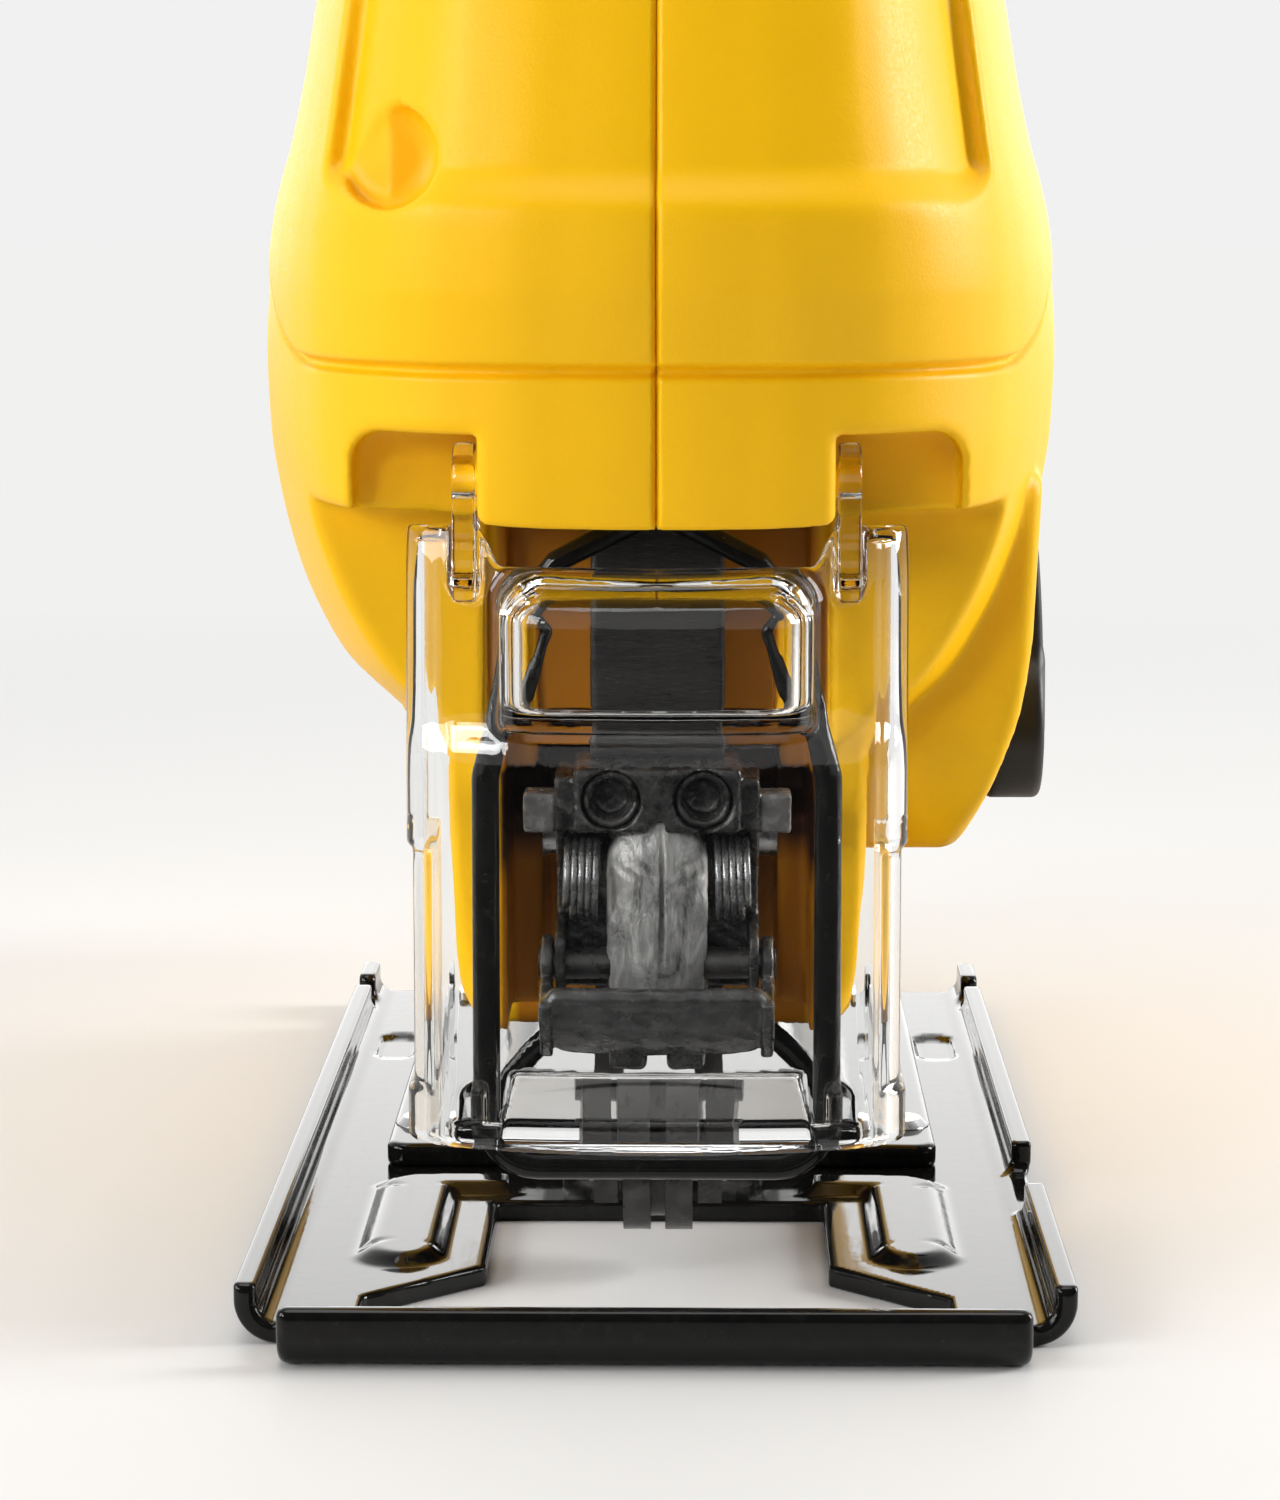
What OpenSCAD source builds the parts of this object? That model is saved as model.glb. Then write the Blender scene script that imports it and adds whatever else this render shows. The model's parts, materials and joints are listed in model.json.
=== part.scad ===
// Jigsaw with a tilting sole, drawn as separate pieces with the joints they move on.
// Millimetres. X across the tool, nose towards -Y, Z up. Y = 0 is the blade line
// and Z = 0 the underside of the sole.

/* [Sole] */
// sole width over the side flanges
base_w = 76; // [60:100]
// sole sheet thickness
base_t = 2; // [1.2:0.1:3]
// front edge of the sole
base_front = -29.1; // [-40:0.1:-20]
// rear edge of the sole
base_rear = 131; // [100:180]
// height of lip and side flanges
flange_h = 5.6; // [4:0.1:9]
// half width of the blade opening
open_hw = 16.2; // [12:0.1:22]
// rear end of the blade opening
open_rear = 23.5; // [15:0.1:35]

/* [Tilt bracket] */
// outer radius of the arch about the tilt axis
arch_r = 19.9; // [16:0.1:24]
// arch sheet thickness
arch_t = 2.4; // [1.5:0.1:4]
// arch front
arch_y0 = 44; // [30:60]
// arch rear
arch_y1 = 112; // [80:130]

/* [Drive] */
// height of the motor axis
motor_z = 64; // [50:80]
// distance from motor axis to gear axis
gear_a = 30; // [24:36]
// pinion teeth
pinion_n = 10; // [8:14]
// gear teeth
gear_n = 50; // [36:60]
// crank throw, half the stroke
crank_e = 9; // [6:0.5:12]
// height of the crank pin below the gear axis at rest
crank_drop = 7; // [0:0.5:9]

/* [Plunger and clamp] */
// plunger width
bar_w = 12.4; // [8:0.1:16]
// plunger thickness
bar_t = 4; // [3:0.1:6]
// height of the clamp pin
pin_z = 31.8; // [26:0.1:40]
// clamp pin's place along Y
pin_y = -3.5; // [-8:0.1:0]
// sweep radius of the clamp lever
lever_r = 8.7; // [6:0.1:10]

/* [Guide] */
// roller radius
roller_r = 6.1; // [4:0.1:8]
// roller centre along Y
roller_y = 6.5; // [4:0.1:10]
// roller centre height
roller_z = 10; // [8:0.1:14]
// pendulum pivot along Y
pend_y = 23; // [16:30]
// pendulum pivot height
pend_z = 40; // [32:48]

/* [Clear guard] */
// half width over the sides
guard_hw = 23; // [18:0.1:28]
// front face
guard_front = -14.5; // [-20:0.1:-10]
// wall thickness
guard_t = 1.8; // [1:0.1:3]
// lower edge
guard_z0 = 16; // [10:0.5:22]
// hinge axis along Y
hinge_y = -9; // [-14:0.5:-4]
// hinge axis height
hinge_z = 77; // [74:0.5:79]

/* [Handle] */
// lower edge of the hand opening
hand_z0 = 103; // [98:112]
// upper edge of the hand opening
hand_z1 = 142; // [134:150]
// front edge of the hand opening
hand_y0 = 54; // [48:64]
// rear edge of the hand opening
hand_y1 = 142; // [130:150]

/* [Hidden] */
$fn = 48;
e = 0.01;
hw = base_w / 2;
// housing screws, each as [Y, Z]
screw_at = [[-9, 106], [24, 132], [47, 146], [120, 165],
            [158, 152], [158, 108], [46, 27], [106, 28]];
// selector axis
sel_y = 35;
sel_z = 49.5;
// trigger pivot
trig_y = 84.6;
trig_z = 152.6;
// speed dial axis
dial_y = 38;
dial_z = 175;
// lock button axis
lock_y = 100;
lock_z = 163;
// height of the cord sleeve's axis
cord_z = 134;
// tilt clamp screw along Y
bevel_y = 78;
// grub screws of the blade clamp, sideways and up
grub_x = 4.2;
grub_z = 47.6;
// rivets of the bracket, sideways and along Y
rivet_x = 25;
rivet_y = [48, 116];
// running gap of the plunger in its bushes
bush_gap = 0.06;
slot_x = bar_w / 2 + bush_gap;
slot_y = bar_t / 2 + bush_gap;
// outer bend radius of the pressed sole and half length of its front lip
bend_r = 4;
lip_hw = 33.4;
// stator and armature stack
stack_y = 115;
stack_l = 36;
gear_z = motor_z + gear_a;
gmod = 2 * gear_a / (pinion_n + gear_n);
gear_rp = gmod * gear_n / 2;
pin_rp = gmod * pinion_n / 2;
yoke_z = gear_z - crank_drop;
crank_x = sqrt(crank_e * crank_e - crank_drop * crank_drop);
arch_ri = arch_r - arch_t;
yellow = [0.93, 0.70, 0.05];
black = [0.06, 0.06, 0.065];
steel = [0.55, 0.56, 0.58];
copper = [0.72, 0.40, 0.18];

// ---- helpers ----
module yz(x0, x1) { translate([x0, 0, 0]) rotate([90, 0, 90]) linear_extrude(x1 - x0) children(); }
module xz(y0, y1) { translate([0, y1, 0]) rotate([90, 0, 0]) linear_extrude(y1 - y0) children(); }
module cyx(r, x0, x1, y, z) { translate([x0, y, z]) rotate([0, 90, 0]) cylinder(r = r, h = x1 - x0); }
module cyy(r, y0, y1, x, z) { translate([x, y1, z]) rotate([90, 0, 0]) cylinder(r = r, h = y1 - y0); }
module cyz(r, z0, z1, x, y) { translate([x, y, z0]) cylinder(r = r, h = z1 - z0); }
module bx(x0, x1, y0, y1, z0, z1) { translate([x0, y0, z0]) cube([x1 - x0, y1 - y0, z1 - z0]); }
module mir() {
  children();
  mirror([1, 0, 0]) children();
}
// 2-D children in X and Z, pulled forward from y along the motor axis
module along_motor(y) { translate([0, y, motor_z]) rotate([90, 0, 0]) children(); }
module sector(r0, r1, a0, a1) {
  difference() {
    intersection() {
      circle(r = r1);
      polygon([[0, 0], for (i = [0 : 6]) let (a = a0 + (a1 - a0) * i / 6) 2 * r1 * [cos(a), sin(a)]]);
    }
    circle(r = r0);
  }
}

// ---- sole ----
module l_profile(h, t, r) {
  // right-hand bend: outer corner at the origin, sheet runs to -X and up
  difference() {
    union() {
      translate([-12, 0]) square([12 - r, t]);
      translate([-t, r]) square([t, h - r]);
      intersection() {
        translate([-r, r]) circle(r = r);
        translate([-r, 0]) square([r, r]);
      }
    }
    translate([-r, r]) circle(r = r - t);
  }
}
module base_outline() {
  polygon([[-hw + 10, base_rear], [hw - 10, base_rear], [hw - 10, -21], [lip_hw - 4, base_front + 8],
           [-lip_hw + 4, base_front + 8], [-hw + 10, -21]]);
}
module base_plate() {
  color(black) difference() {
    union() {
      linear_extrude(base_t) base_outline();
      mir() difference() {
        translate([hw, 0, 0]) xz(-21, base_rear) l_profile(flange_h, base_t, bend_r);
        bx(hw - 4, hw + 1, 117, 122, 2.6, 12);
      }
      intersection() {
        translate([0, base_front, 0]) rotate([90, 0, -90]) translate([0, 0, -lip_hw])
          linear_extrude(2 * lip_hw) l_profile(flange_h, base_t, bend_r);
        bx(-40, 40, base_front, base_front + 8, 0, 10);
      }
      // pressed bead beside the opening
      mir() translate([0, 0, base_t - e]) linear_extrude(1.8) {
        translate([24.75, 2.75]) circle(r = 4.75);
        translate([20, 2.75]) square([9.5, 26]);
        translate([24.75, 28.75]) circle(r = 4.75);
        translate([open_hw, 26]) square([8.5, 7.4]);
      }
    }
    // blade opening with its wide mouth behind the lip
    translate([0, 0, -1]) linear_extrude(8)
      polygon([[-27, -25.5], [27, -25.5], [27, -11.5], [open_hw, -1],
               [open_hw, open_rear], [-open_hw, open_rear], [-open_hw, -1], [-27, -11.5]]);
    // cut-out for the fence bar in one flange
    bx(hw - 4, hw + 1, 18, 35, 2.6, 12);
    for (s = [-1, 1], y = rivet_y) cyz(2.05, -1, 5, s * rivet_x, y);
    // short slots beside the bracket
    mir() {
      cyz(2.2, -1, 5, 31.5, 94);
      cyz(2.2, -1, 5, 31.5, 102);
      bx(29.3, 33.7, 94, 102, -1, 5);
    }
  }
}
module base_bracket() {
  color(black) difference() {
    union() {
      bx(-28.5, 28.5, 38, 124, base_t, base_t + 2.4);
      intersection() {
        cyy(arch_r, arch_y0, arch_y1, 0, 0);
        bx(-30, 30, 0, 140, base_t, 40);
      }
    }
    intersection() {
      cyy(arch_ri, arch_y0 - e, arch_y1 + e, 0, 0);
      bx(-30, 30, 0, 140, base_t - 1, 40);
    }
    // curved slot for the clamp screw
    bx(-14.5, 14.5, 74.7, 81.3, 8, 40);
    for (s = [-1, 1], y = rivet_y) cyz(2.05, -1, 8, s * rivet_x, y);
    bx(-10, 10, 36, arch_y0 - 1, 1, 8);
  }
}
module bracket_rivets() {
  color(steel) for (s = [-1, 1], y = rivet_y) translate([s * rivet_x, y, 0]) {
    cylinder(r = 2.0, h = 4.5);
    translate([0, 0, 4.4]) cylinder(r1 = 3.2, r2 = 2.4, h = 0.8);
  }
}

// ---- housing ----
module side_gear() {
  polygon([[-17.6, 75], [-18.6, 87], [-20.6, 94], [-21, 101.5], [-18.4, 104.5], [-16, 122],
           [-11, 143], [-3, 160], [8, 172], [22, 180], [40, 183.5], [60, 184.5],
           [60, hand_z1], [hand_y0, hand_z1 - 6], [hand_y0 - 2, hand_z0 + 5],
           [60, hand_z0], [60, 46], [4, 48], [0, 52], [-4, 60], [-6, 75]]);
}
module front_gear() {
  h = [[21, 46], [24, 52], [27.4, 54.6], [31, 58], [33.4, 62], [35, 66], [36.2, 70], [37.2, 74.5],
       [38, 80], [38.4, 88], [38.2, 95], [37.6, 100], [36.6, 103.5], [35.6, 107], [34.4, 113],
       [33.2, 120], [31, 131], [28, 143], [24.6, 155],
       [21, 167], [18, 176], [13, 182], [6, 184.4]];
  polygon(concat(h, [for (i = [len(h) - 1 : -1 : 0]) [-h[i][0], h[i][1]]]));
}
module plan_gear() {
  h = [[13, -21], [21, -19], [26.5, -15], [30.5, -8.5], [34, 1], [36.8, 13], [38.3, 26], [38.3, 36],
       [35.5, 46], [31, 54], [30, 61]];
  polygon(concat(h, [for (i = [len(h) - 1 : -1 : 0]) [-h[i][0], h[i][1]]]));
}
module side_rear() {
  difference() {
    polygon([[50, 62], [166, 62], [173, 72], [175, 96], [173, 124], [171, 146], [163, 166], [148, 178],
             [124, 183.5], [90, 185], [50, 184.6]]);
    polygon([[hand_y0 - 4, hand_z0 + 3], [hand_y0, hand_z0], [hand_y1 - 8, hand_z0 - 1],
             [hand_y1, hand_z0 + 6], [hand_y1 + 3, 124], [hand_y1 - 2, hand_z1 - 7],
             [hand_y1 - 12, hand_z1 + 2], [96, hand_z1 + 4], [70, hand_z1 + 2], [hand_y0 - 4, hand_z1]]);
  }
}
module front_rear() {
  h = [[30.5, 61], [30.4, 72], [28.5, 82], [24.5, 92], [20.5, 100], [18.2, 108], [16.8, 122],
       [16.4, 136], [17, 148],
       [17.4, 160], [16.6, 170], [14, 178], [9, 183], [4, 185.2]];
  polygon(concat(h, [for (i = [len(h) - 1 : -1 : 0]) [-h[i][0], h[i][1]]]));
}
module cheek_front() { polygon([[-18.5, 22], [18.5, 22], [21, 32], [21.2, 60], [-21.2, 60], [-21, 32]]); }
module housing_outer() {
  intersection() {
    yz(-45, 45) side_gear();
    xz(-30, 70) front_gear();
    translate([0, 0, 20]) linear_extrude(180) plan_gear();
  }
  intersection() {
    yz(-45, 45) side_rear();
    xz(48, 180) front_rear();
  }
  translate([0, 43, motor_z]) rotate([-90, 0, 0]) cylinder(r1 = 24, r2 = 31, h = 7);
  cyy(31, 50 - e, 166, 0, motor_z);
  translate([0, 166, motor_z]) rotate([-90, 0, 0]) cylinder(r1 = 31, r2 = 26, h = 5);
  // cheeks each side of the clamp, and the foot over the arch
  intersection() {
    yz(-30, 30) polygon([[4.5, 22], [5.5, 30], [5.5, 60], [46, 60], [46, 22]]);
    xz(0, 60) cheek_front();
  }
  bx(-23, 23, 40, 114, 13.2, 60);
}
module pod_outer() {
  // flat-sided pod that carries the pendulum lever
  intersection() {
    xz(8, 50) polygon([[18, 39], [28, 39], [33.2, 49], [35.2, 56], [36.2, 77], [18, 77]]);
    yz(0, 45) polygon([[8, 77], [8, 46], [14, 39], [43, 39], [49, 46], [49, 64], [44, 77]]);
  }
}
module cavity() {
  // nose, in front of and around the plunger
  yz(-24, 24) polygon([[-13, 83], [-15.6, 94], [-15, 100], [-11.5, 122],
                       [10.5, 122], [10.5, 78.5], [3.9, 78.5], [3.9, 83]]);
  // gear and pinion
  cyy(27.6, 8.6, 24, 0, gear_z);
  cyy(9, 9.6, 24, 0, motor_z);
  bx(-32.5, 32.5, 12, 24, 76, 108);
  // seat of the gear plate
  xz(24 - e, 31.5) gear_plate_profile(0.3);
  // way to the fan, then the motor
  cyy(17, 31.4, 46.1, 0, motor_z);
  bx(-24, 24, 31.4, 44, 84, 98);
  cyy(28, 46, 149, 0, motor_z);
  // switch gear behind the rear bearing
  cyy(24, 155.5, 167, 0, motor_z);
  // front column, grip, rear column
  yz(-13.5, 13.5) polygon([[-2, 124], [1, 146], [12, 164], [26, 174], [52, 178], [100, 179], [132, 175],
                           [150, 166], [162, 146], [166, 122], [166, 100], [150, 100], [150, 126],
                           [140, 150], [48, 148], [46, 124]]);
  // channel for the plunger and clamp
  bx(-14.1, 14.1, -30, 7.2, 47, 74.6);
  bx(-14.1, 14.1, -5, 19, 10, 48);
  // room for the pendulum arm
  bx(-11.4, 11.4, 7.2 - e, 40, 10, 52);
  cyx(5, -11.4, 11.4, sel_y, sel_z);
  // saddle on the arch
  cyy(arch_r + 0.12, 38, 116, 0, 0);
  // clamp screw and its nut
  cyz(3.1, 12, 36, 0, bevel_y);
  bx(-5.1, 5.1, bevel_y - 5.1, bevel_y + 5.1, 27, 31.1);
}
module guard_pockets() {
  mir() {
    // upper pocket for the hinge arm, lower pocket for the guard's shoulder
    bx(15.8, 26.6, -24, -5, 74, 81.3);
    intersection() {
      bx(15.8, 31, -24, -3, 50, 74.6);
      xz(-30, 10) polygon([[15, 74.6], [31, 74.6], [31, 71], [28, 62], [24, 57], [15, 50]]);
    }
  }
}
module screw_posts() {
  // the third screw goes through the solid column
  for (i = [0 : len(screw_at) - 1]) if (i != 2) cyx(4.6, -30, 30, screw_at[i][0], screw_at[i][1]);
}
module screw_holes() {
  for (p = screw_at) {
    cyx(1.75, -40, 16, p[0], p[1]);
    cyx(4.3, -45, -9.9, p[0], p[1]);
  }
  // scooped mouth of the first one
  translate([-20.5, -10.5, 106]) rotate([90, 0, -30]) cylinder(r = 4.3, h = 20);
}
module vents() {
  mir() {
    for (i = [0 : 4]) bx(20, 34, 157.5, 164.5, 50 + i * 6, 53 + i * 6);
    for (i = [0 : 3]) bx(20, 40, 58 + i * 5, 60.6 + i * 5, 52, 76);
  }
}
module shell(left) {
  difference() {
    union() {
      difference() {
        union() {
          housing_outer();
          if (left) pod_outer();
        }
        cavity();
        guard_pockets();
      }
      intersection() {
        screw_posts();
        housing_outer();
      }
      // web that carries the upper bush
      bx(-24.5, 24.5, -12, 3.9, 109.5, 116.6);
      // pads that hold the stator
      difference() {
        intersection() {
          cyy(29, 84, 110, 0, motor_z);
          union() {
            bx(-30, 30, 80, 112, motor_z + 26, 96);
            bx(-30, 30, 80, 112, 34, motor_z - 26);
          }
        }
        cyy(27.3, 80, 112, 0, motor_z);
      }
      // ribs beside the switch
      mir() bx(8.05, 14, 93, 96, 148, 176);
    }
    screw_holes();
    vents();
    // plunger slot and bush seats
    bx(-6.6, 6.6, -2.4, 2.4, 70, 137);
    bx(-9.6, 9.6, -5, 3.8, 76, 83);
    bx(-9.6, 9.6, -5, 3.8, 110, 116);
    // rear bearing seat and shaft way
    cyy(9.5, 149 - e, 155.1, 0, motor_z);
    cyy(6, 154, 160, 0, motor_z);
    // guard hinge pins
    cyx(1.55, -18, 18, hinge_y, hinge_z);
    // pendulum pivot, selector shaft
    cyx(2.5, -14, 14, pend_y, pend_z);
    if (left) {
      cyx(3.66, 5, 45, sel_y, sel_z);
      cyx(8.4, 32.3, 45, sel_y, sel_z);
    }
    cyx(1.46, -16, 16, trig_y, trig_z);
    // wire guard seats
    bx(-3.2, 3.2, -11, -6.6, 71, 74.9);
    // trigger, lock button, dial, gland
    bx(-8.2, 8.2, 55, 90, 130, 158);
    if (left) cyx(4.6, 4, 30, lock_y, lock_z);
    cyx(10.9, -3.2, 3.2, dial_y, dial_z);
    cyx(2.01, -15.2, 15.2, dial_y, dial_z);
    cyy(6.5, 160, 180, 0, cord_z);
    cyy(8.25, 150, 164.1, 0, cord_z);
    // brush holder seats
    bx(-29.2, 29.2, 129.5, 140.5, motor_z - 5.5, motor_z + 5.5);
  }
}
module right_housing() {
  color(yellow) intersection() {
    shell(false);
    bx(-60, 0, -40, 200, 0, 200);
  }
}
module left_housing() {
  color(yellow) intersection() {
    shell(true);
    bx(0, 60, -40, 200, 0, 200);
  }
}
module housing_screws() {
  color(steel) for (p = screw_at) difference() {
    union() {
      cyx(1.74, -10, 12, p[0], p[1]);
      cyx(3.4, -12.4, -9.9, p[0], p[1]);
    }
    cyx(1.6, -13, -10.8, p[0], p[1]);
  }
}
module bevel_screw() {
  color(steel) difference() {
    union() {
      cyz(3, 12.4, 33, 0, bevel_y);
      cyz(5, 9.6, 12.5, 0, bevel_y);
    }
    translate([0, bevel_y, 9]) cylinder(r = 2.9, h = 2.6, $fn = 6);
  }
}
module bevel_washer() {
  color(steel) difference() {
    intersection() {
      bx(-8, 8, bevel_y - 8, bevel_y + 8, 12.5, 18);
      cyy(arch_ri - 0.06, 60, 96, 0, 0);
    }
    cyz(3.05, 10, 20, 0, bevel_y);
  }
}
module bevel_nut() {
  color(steel) difference() {
    bx(-5, 5, bevel_y - 5, bevel_y + 5, 27.1, 31);
    cyz(3, 20, 40, 0, bevel_y);
  }
}
module cord_gland() {
  color(black) difference() {
    union() {
      cyy(6.5, 164, 176, 0, cord_z);
      cyy(8.2, 161.4, 164.1, 0, cord_z);
      translate([0, 176 - e, cord_z]) rotate([-90, 0, 0]) cylinder(r1 = 6.5, r2 = 4.9, h = 26);
    }
    cyy(3.6, 150, 210, 0, cord_z);
    // flex grooves
    for (i = [0 : 3]) difference() {
      cyy(9, 178.5 + i * 5.6, 180.8 + i * 5.6, 0, cord_z);
      cyy(4.5, 170, 210, 0, cord_z);
    }
  }
}

// ---- wire guard ----
// corners of the right half of the loop in X and Z, each with its bend radius
wire_r = 1.5;
wire_y = -8.6;
wire_half = [[0, 73.2, 2], [9.6, 69.4, 1.5], [12, 66, 1.5], [10.4, 63.4, 1.5],
             [14.4, 57.4, 3], [15.5, 50, 4], [15.5, 13.6, 4.5]];
function unit(v) = v / norm(v);
function bend(p, q, s, r, n) =
  let (
    a = unit([p[0] - q[0], p[1] - q[1]]),
    b = unit([s[0] - q[0], s[1] - q[1]]),
    half = acos(a * b) / 2,
    t = r / tan(half),
    c = [q[0], q[1]] + unit(a + b) * r / sin(half),
    u = [q[0], q[1]] + a * t - c,
    v = [q[0], q[1]] + b * t - c,
    turn = 180 - 2 * half,
    side = sign(u[0] * v[1] - u[1] * v[0])
  )
  [for (i = [0 : n]) c + rot2(u, side * turn * i / n)];
wire_loop = concat(wire_half, [for (i = [len(wire_half) - 1 : -1 : 1])
  [-wire_half[i][0], wire_half[i][1], wire_half[i][2]]]);
wire_path = [for (i = [0 : len(wire_loop) - 1])
  let (n = len(wire_loop), c = wire_loop[i])
  each bend(wire_loop[(i + n - 1) % n], c, wire_loop[(i + 1) % n], c[2], 4)];
module loop_sweep(path, y, r, k) {
  n = len(path);
  pts = [for (i = [0 : n - 1])
    let (
      a = unit(path[i] - path[(i + n - 1) % n]),
      b = unit(path[(i + 1) % n] - path[i]),
      t = unit(a + b),
      c = max(0.5, t * a)
    )
    for (j = [0 : k - 1])
      let (w = r * cos(j * 360 / k) / c)
      [path[i][0] + w * t[1], y + r * sin(j * 360 / k), path[i][1] - w * t[0]]];
  polyhedron(pts, [for (i = [0 : n - 1], j = [0 : k - 1])
    let (m = (i + 1) % n, l = (j + 1) % k)
    each [[i * k + j, i * k + l, m * k + l], [i * k + j, m * k + l, m * k + j]]]);
}
module wire_guard() { color(black) loop_sweep(wire_path, wire_y, wire_r, 10); }

// ---- plunger group ----
module plunger() { color(steel) bx(-bar_w / 2, bar_w / 2, -bar_t / 2, bar_t / 2, 50.5, 118); }
module yoke() {
  color(steel) difference() {
    union() {
      bx(-15.5, 15.5, 4.2, 8.2, yoke_z - 5.6, yoke_z + 5.6);
      bx(-5, 5, bar_t / 2, 4.3, yoke_z - 1.8, yoke_z + 5.6);
    }
    bx(-13, 13, 4.9, 9, yoke_z - 3.65, yoke_z + 3.65);
  }
}
// bronze block round the plunger
module bush(z0, z1) {
  color([0.62, 0.45, 0.2]) difference() {
    bx(-9.6, 9.6, -5, 3.8, z0, z1);
    bx(-slot_x, slot_x, -slot_y, slot_y, z0 - 5, z1 + 5);
  }
}
module lower_bush() { bush(76, 83); }
module upper_bush() { bush(110, 116); }
module clamp_body() {
  color(steel) difference() {
    union() {
      bx(-7.5, 7.5, -7.5, 1.8, 44.6, 50.5);
      bx(-4.6, 4.6, -1.6, 1.8, 27, 44.7);
      mir() {
        // feet, back plates, cheeks and spring lugs
        bx(0.9, 4.4, -6.4, 1.8, 22.2, 27.1);
        bx(4.5, 9.3, -0.4, 1.8, 29, 44.7);
        yz(8.5, 9.3) polygon([[-6.3, 29], [-6.3, 34.6], [-3, 36], [-3, 42],
                              [-6.6, 44.4], [-6.6, 49.6], [1.8, 49.6], [1.8, 29]]);
        bx(7.4, 9.3, -6.6, 1.8, 44.7, 49.6);
        bx(9.2, 12.2, -6, -2.2, 44.4, 48.1);
      }
    }
    for (s = [-1, 1]) cyy(2.65, -9, -0.4, s * grub_x, grub_z);
    cyx(1.5, -12, 12, pin_y, pin_z);
    bx(-0.8, 0.8, -9, 0.6, 20, 44);
  }
}
module clamp_screws() {
  color(black) for (s = [-1, 1]) difference() {
    cyy(2.6, -6.9, -0.5, s * grub_x, grub_z);
    translate([s * grub_x, -5.2, grub_z]) rotate([90, 0, 0]) cylinder(r = 1.5, h = 3, $fn = 6);
  }
}
module blade_holder() {
  color([0.5, 0.5, 0.5]) difference() {
    union() {
      intersection() {
        bx(-4.6, 4.6, -6.2, -1.65, 33.6, 44.5);
        cyy(7.2, -9, -1, 0, 38.6);
      }
      bx(-1.3, 1.3, -7, -3, 33.6, 44.5);
    }
    bx(-0.8, 0.8, -8, -2, 30, 43.4);
    cyx(1.6, -12, 12, pin_y, pin_z);
  }
}
module clamp_pin() { color(steel) cyx(1.5, -10.9, 10.9, pin_y, pin_z); }
// one coil as a ring of wire about an axis along X
module coil_x(x, y, z, r, wire) {
  translate([x, y, z]) rotate([0, 90, 0]) rotate_extrude($fn = 24) translate([r, 0]) circle(r = wire, $fn = 8);
}
module clamp_springs() {
  color(steel) mir() for (i = [0 : 4]) coil_x(5.3 + i * 0.7, -4, 40.9, 3.2, 0.28);
}
module clamp_lever() {
  color(black) difference() {
    union() {
      mir() {
        cyx(2.6, 9.4, 10.6, pin_y, pin_z);
        yz(9.4, 10.6) translate([pin_y, pin_z]) sector(1, lever_r, 196, 262);
      }
      yz(-10.6, 10.6) translate([pin_y, pin_z]) sector(lever_r - 2.8, lever_r, 196, 262);
    }
    cyx(1.56, -12, 12, pin_y, pin_z);
    bx(-4.8, 4.8, -6.7, 2, 20, 28);
  }
}

// ---- clear guard ----
module round_front(w, y0, y1, r) {
  // slab with its two front corners rounded
  translate([-w, y0 + r]) square([2 * w, y1 - y0 - r]);
  translate([r - w, y0]) square([2 * (w - r), r + 1]);
  for (s = [-1, 1]) translate([s * (w - r), y0 + r]) circle(r = r);
}
module clear_guard() {
  color([0.85, 0.88, 0.9, 0.35]) difference() {
    union() {
      difference() {
        translate([0, 0, guard_z0]) linear_extrude(57) difference() {
          round_front(guard_hw, guard_front, 3.5, 5);
          round_front(guard_hw - guard_t, guard_front + guard_t, 20, 5 - guard_t);
        }
        // neck between the shoulders, cleared for the nose
        bx(-15.9, 15.9, -20, 20, 69, 90);
        bx(-30, 30, -5.4, 20, 45, 90);
        // window under the bulge
        bx(-12.4, 12.4, -20, -5, 56.4, 67.4);
      }
      // bulge with its own front
      difference() {
        bx(-14, 14, guard_front - 2.6, guard_front + guard_t, 54.8, 69);
        bx(-12.4, 12.4, guard_front - 1, guard_front + 9, 56.4, 67.4);
      }
      // lower rim
      bx(-13, 13, guard_front + 1, -10.6, guard_z0, guard_z0 + 1.8);
      // hinge arms
      mir() yz(16.3, 18.4) {
        translate([hinge_y, hinge_z]) circle(r = 3.5);
        polygon([[hinge_y - 3.5, hinge_z], [hinge_y - 3.5, 73], [guard_front + 1, 71.5],
                 [guard_front + 1, 66], [hinge_y + 3.5, 69], [hinge_y + 3.5, hinge_z]]);
      }
    }
    cyx(1.56, -30, 30, hinge_y, hinge_z);
  }
}
module guard_pins() { color(steel) mir() cyx(1.5, 11.6, 18.4, hinge_y, hinge_z); }

// ---- guide ----
module arm_side() {
  polygon([[3.4, 12.2], [2.8, 9.4], [4.4, 6.8], [7.4, 6.2], [10, 8.2], [15.5, 14], [19, 22], [24, 33],
           [30, 36.5], [38.4, 41], [38.4, 45.2], [30, 45.2], [19.5, 45.2], [16.6, 41], [14.6, 32],
           [11.4, 22], [6.4, 14.6]]);
}
module pendulum_arm() {
  color(steel) difference() {
    intersection() {
      yz(-6.1, 6.1) arm_side();
      bx(-7, 7, 0, 40, 5, 52);
    }
    bx(-3.8, 3.8, 0, 9, 5, 16.3);
    cyx(roller_r + 0.6, -3.8, 3.8, roller_y, roller_z);
    cyx(1.5, -10, 10, roller_y, roller_z);
    cyx(2.55, -10, 10, pend_y, pend_z);
    bx(-3.4, 3.4, 8, 20, 16, 34);
  }
}
module pendulum_pin() { color(steel) cyx(2.5, -14, 14, pend_y, pend_z); }
module roller_pin() { color(steel) cyx(1.5, -6.6, 6.6, roller_y, roller_z); }
module roller() {
  color(steel) difference() {
    union() {
      mir() cyx(roller_r, 0.7, 3.3, roller_y, roller_z);
      cyx(roller_r - 1.3, -0.8, 0.8, roller_y, roller_z);
    }
    cyx(1.55, -5, 5, roller_y, roller_z);
  }
}

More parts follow.
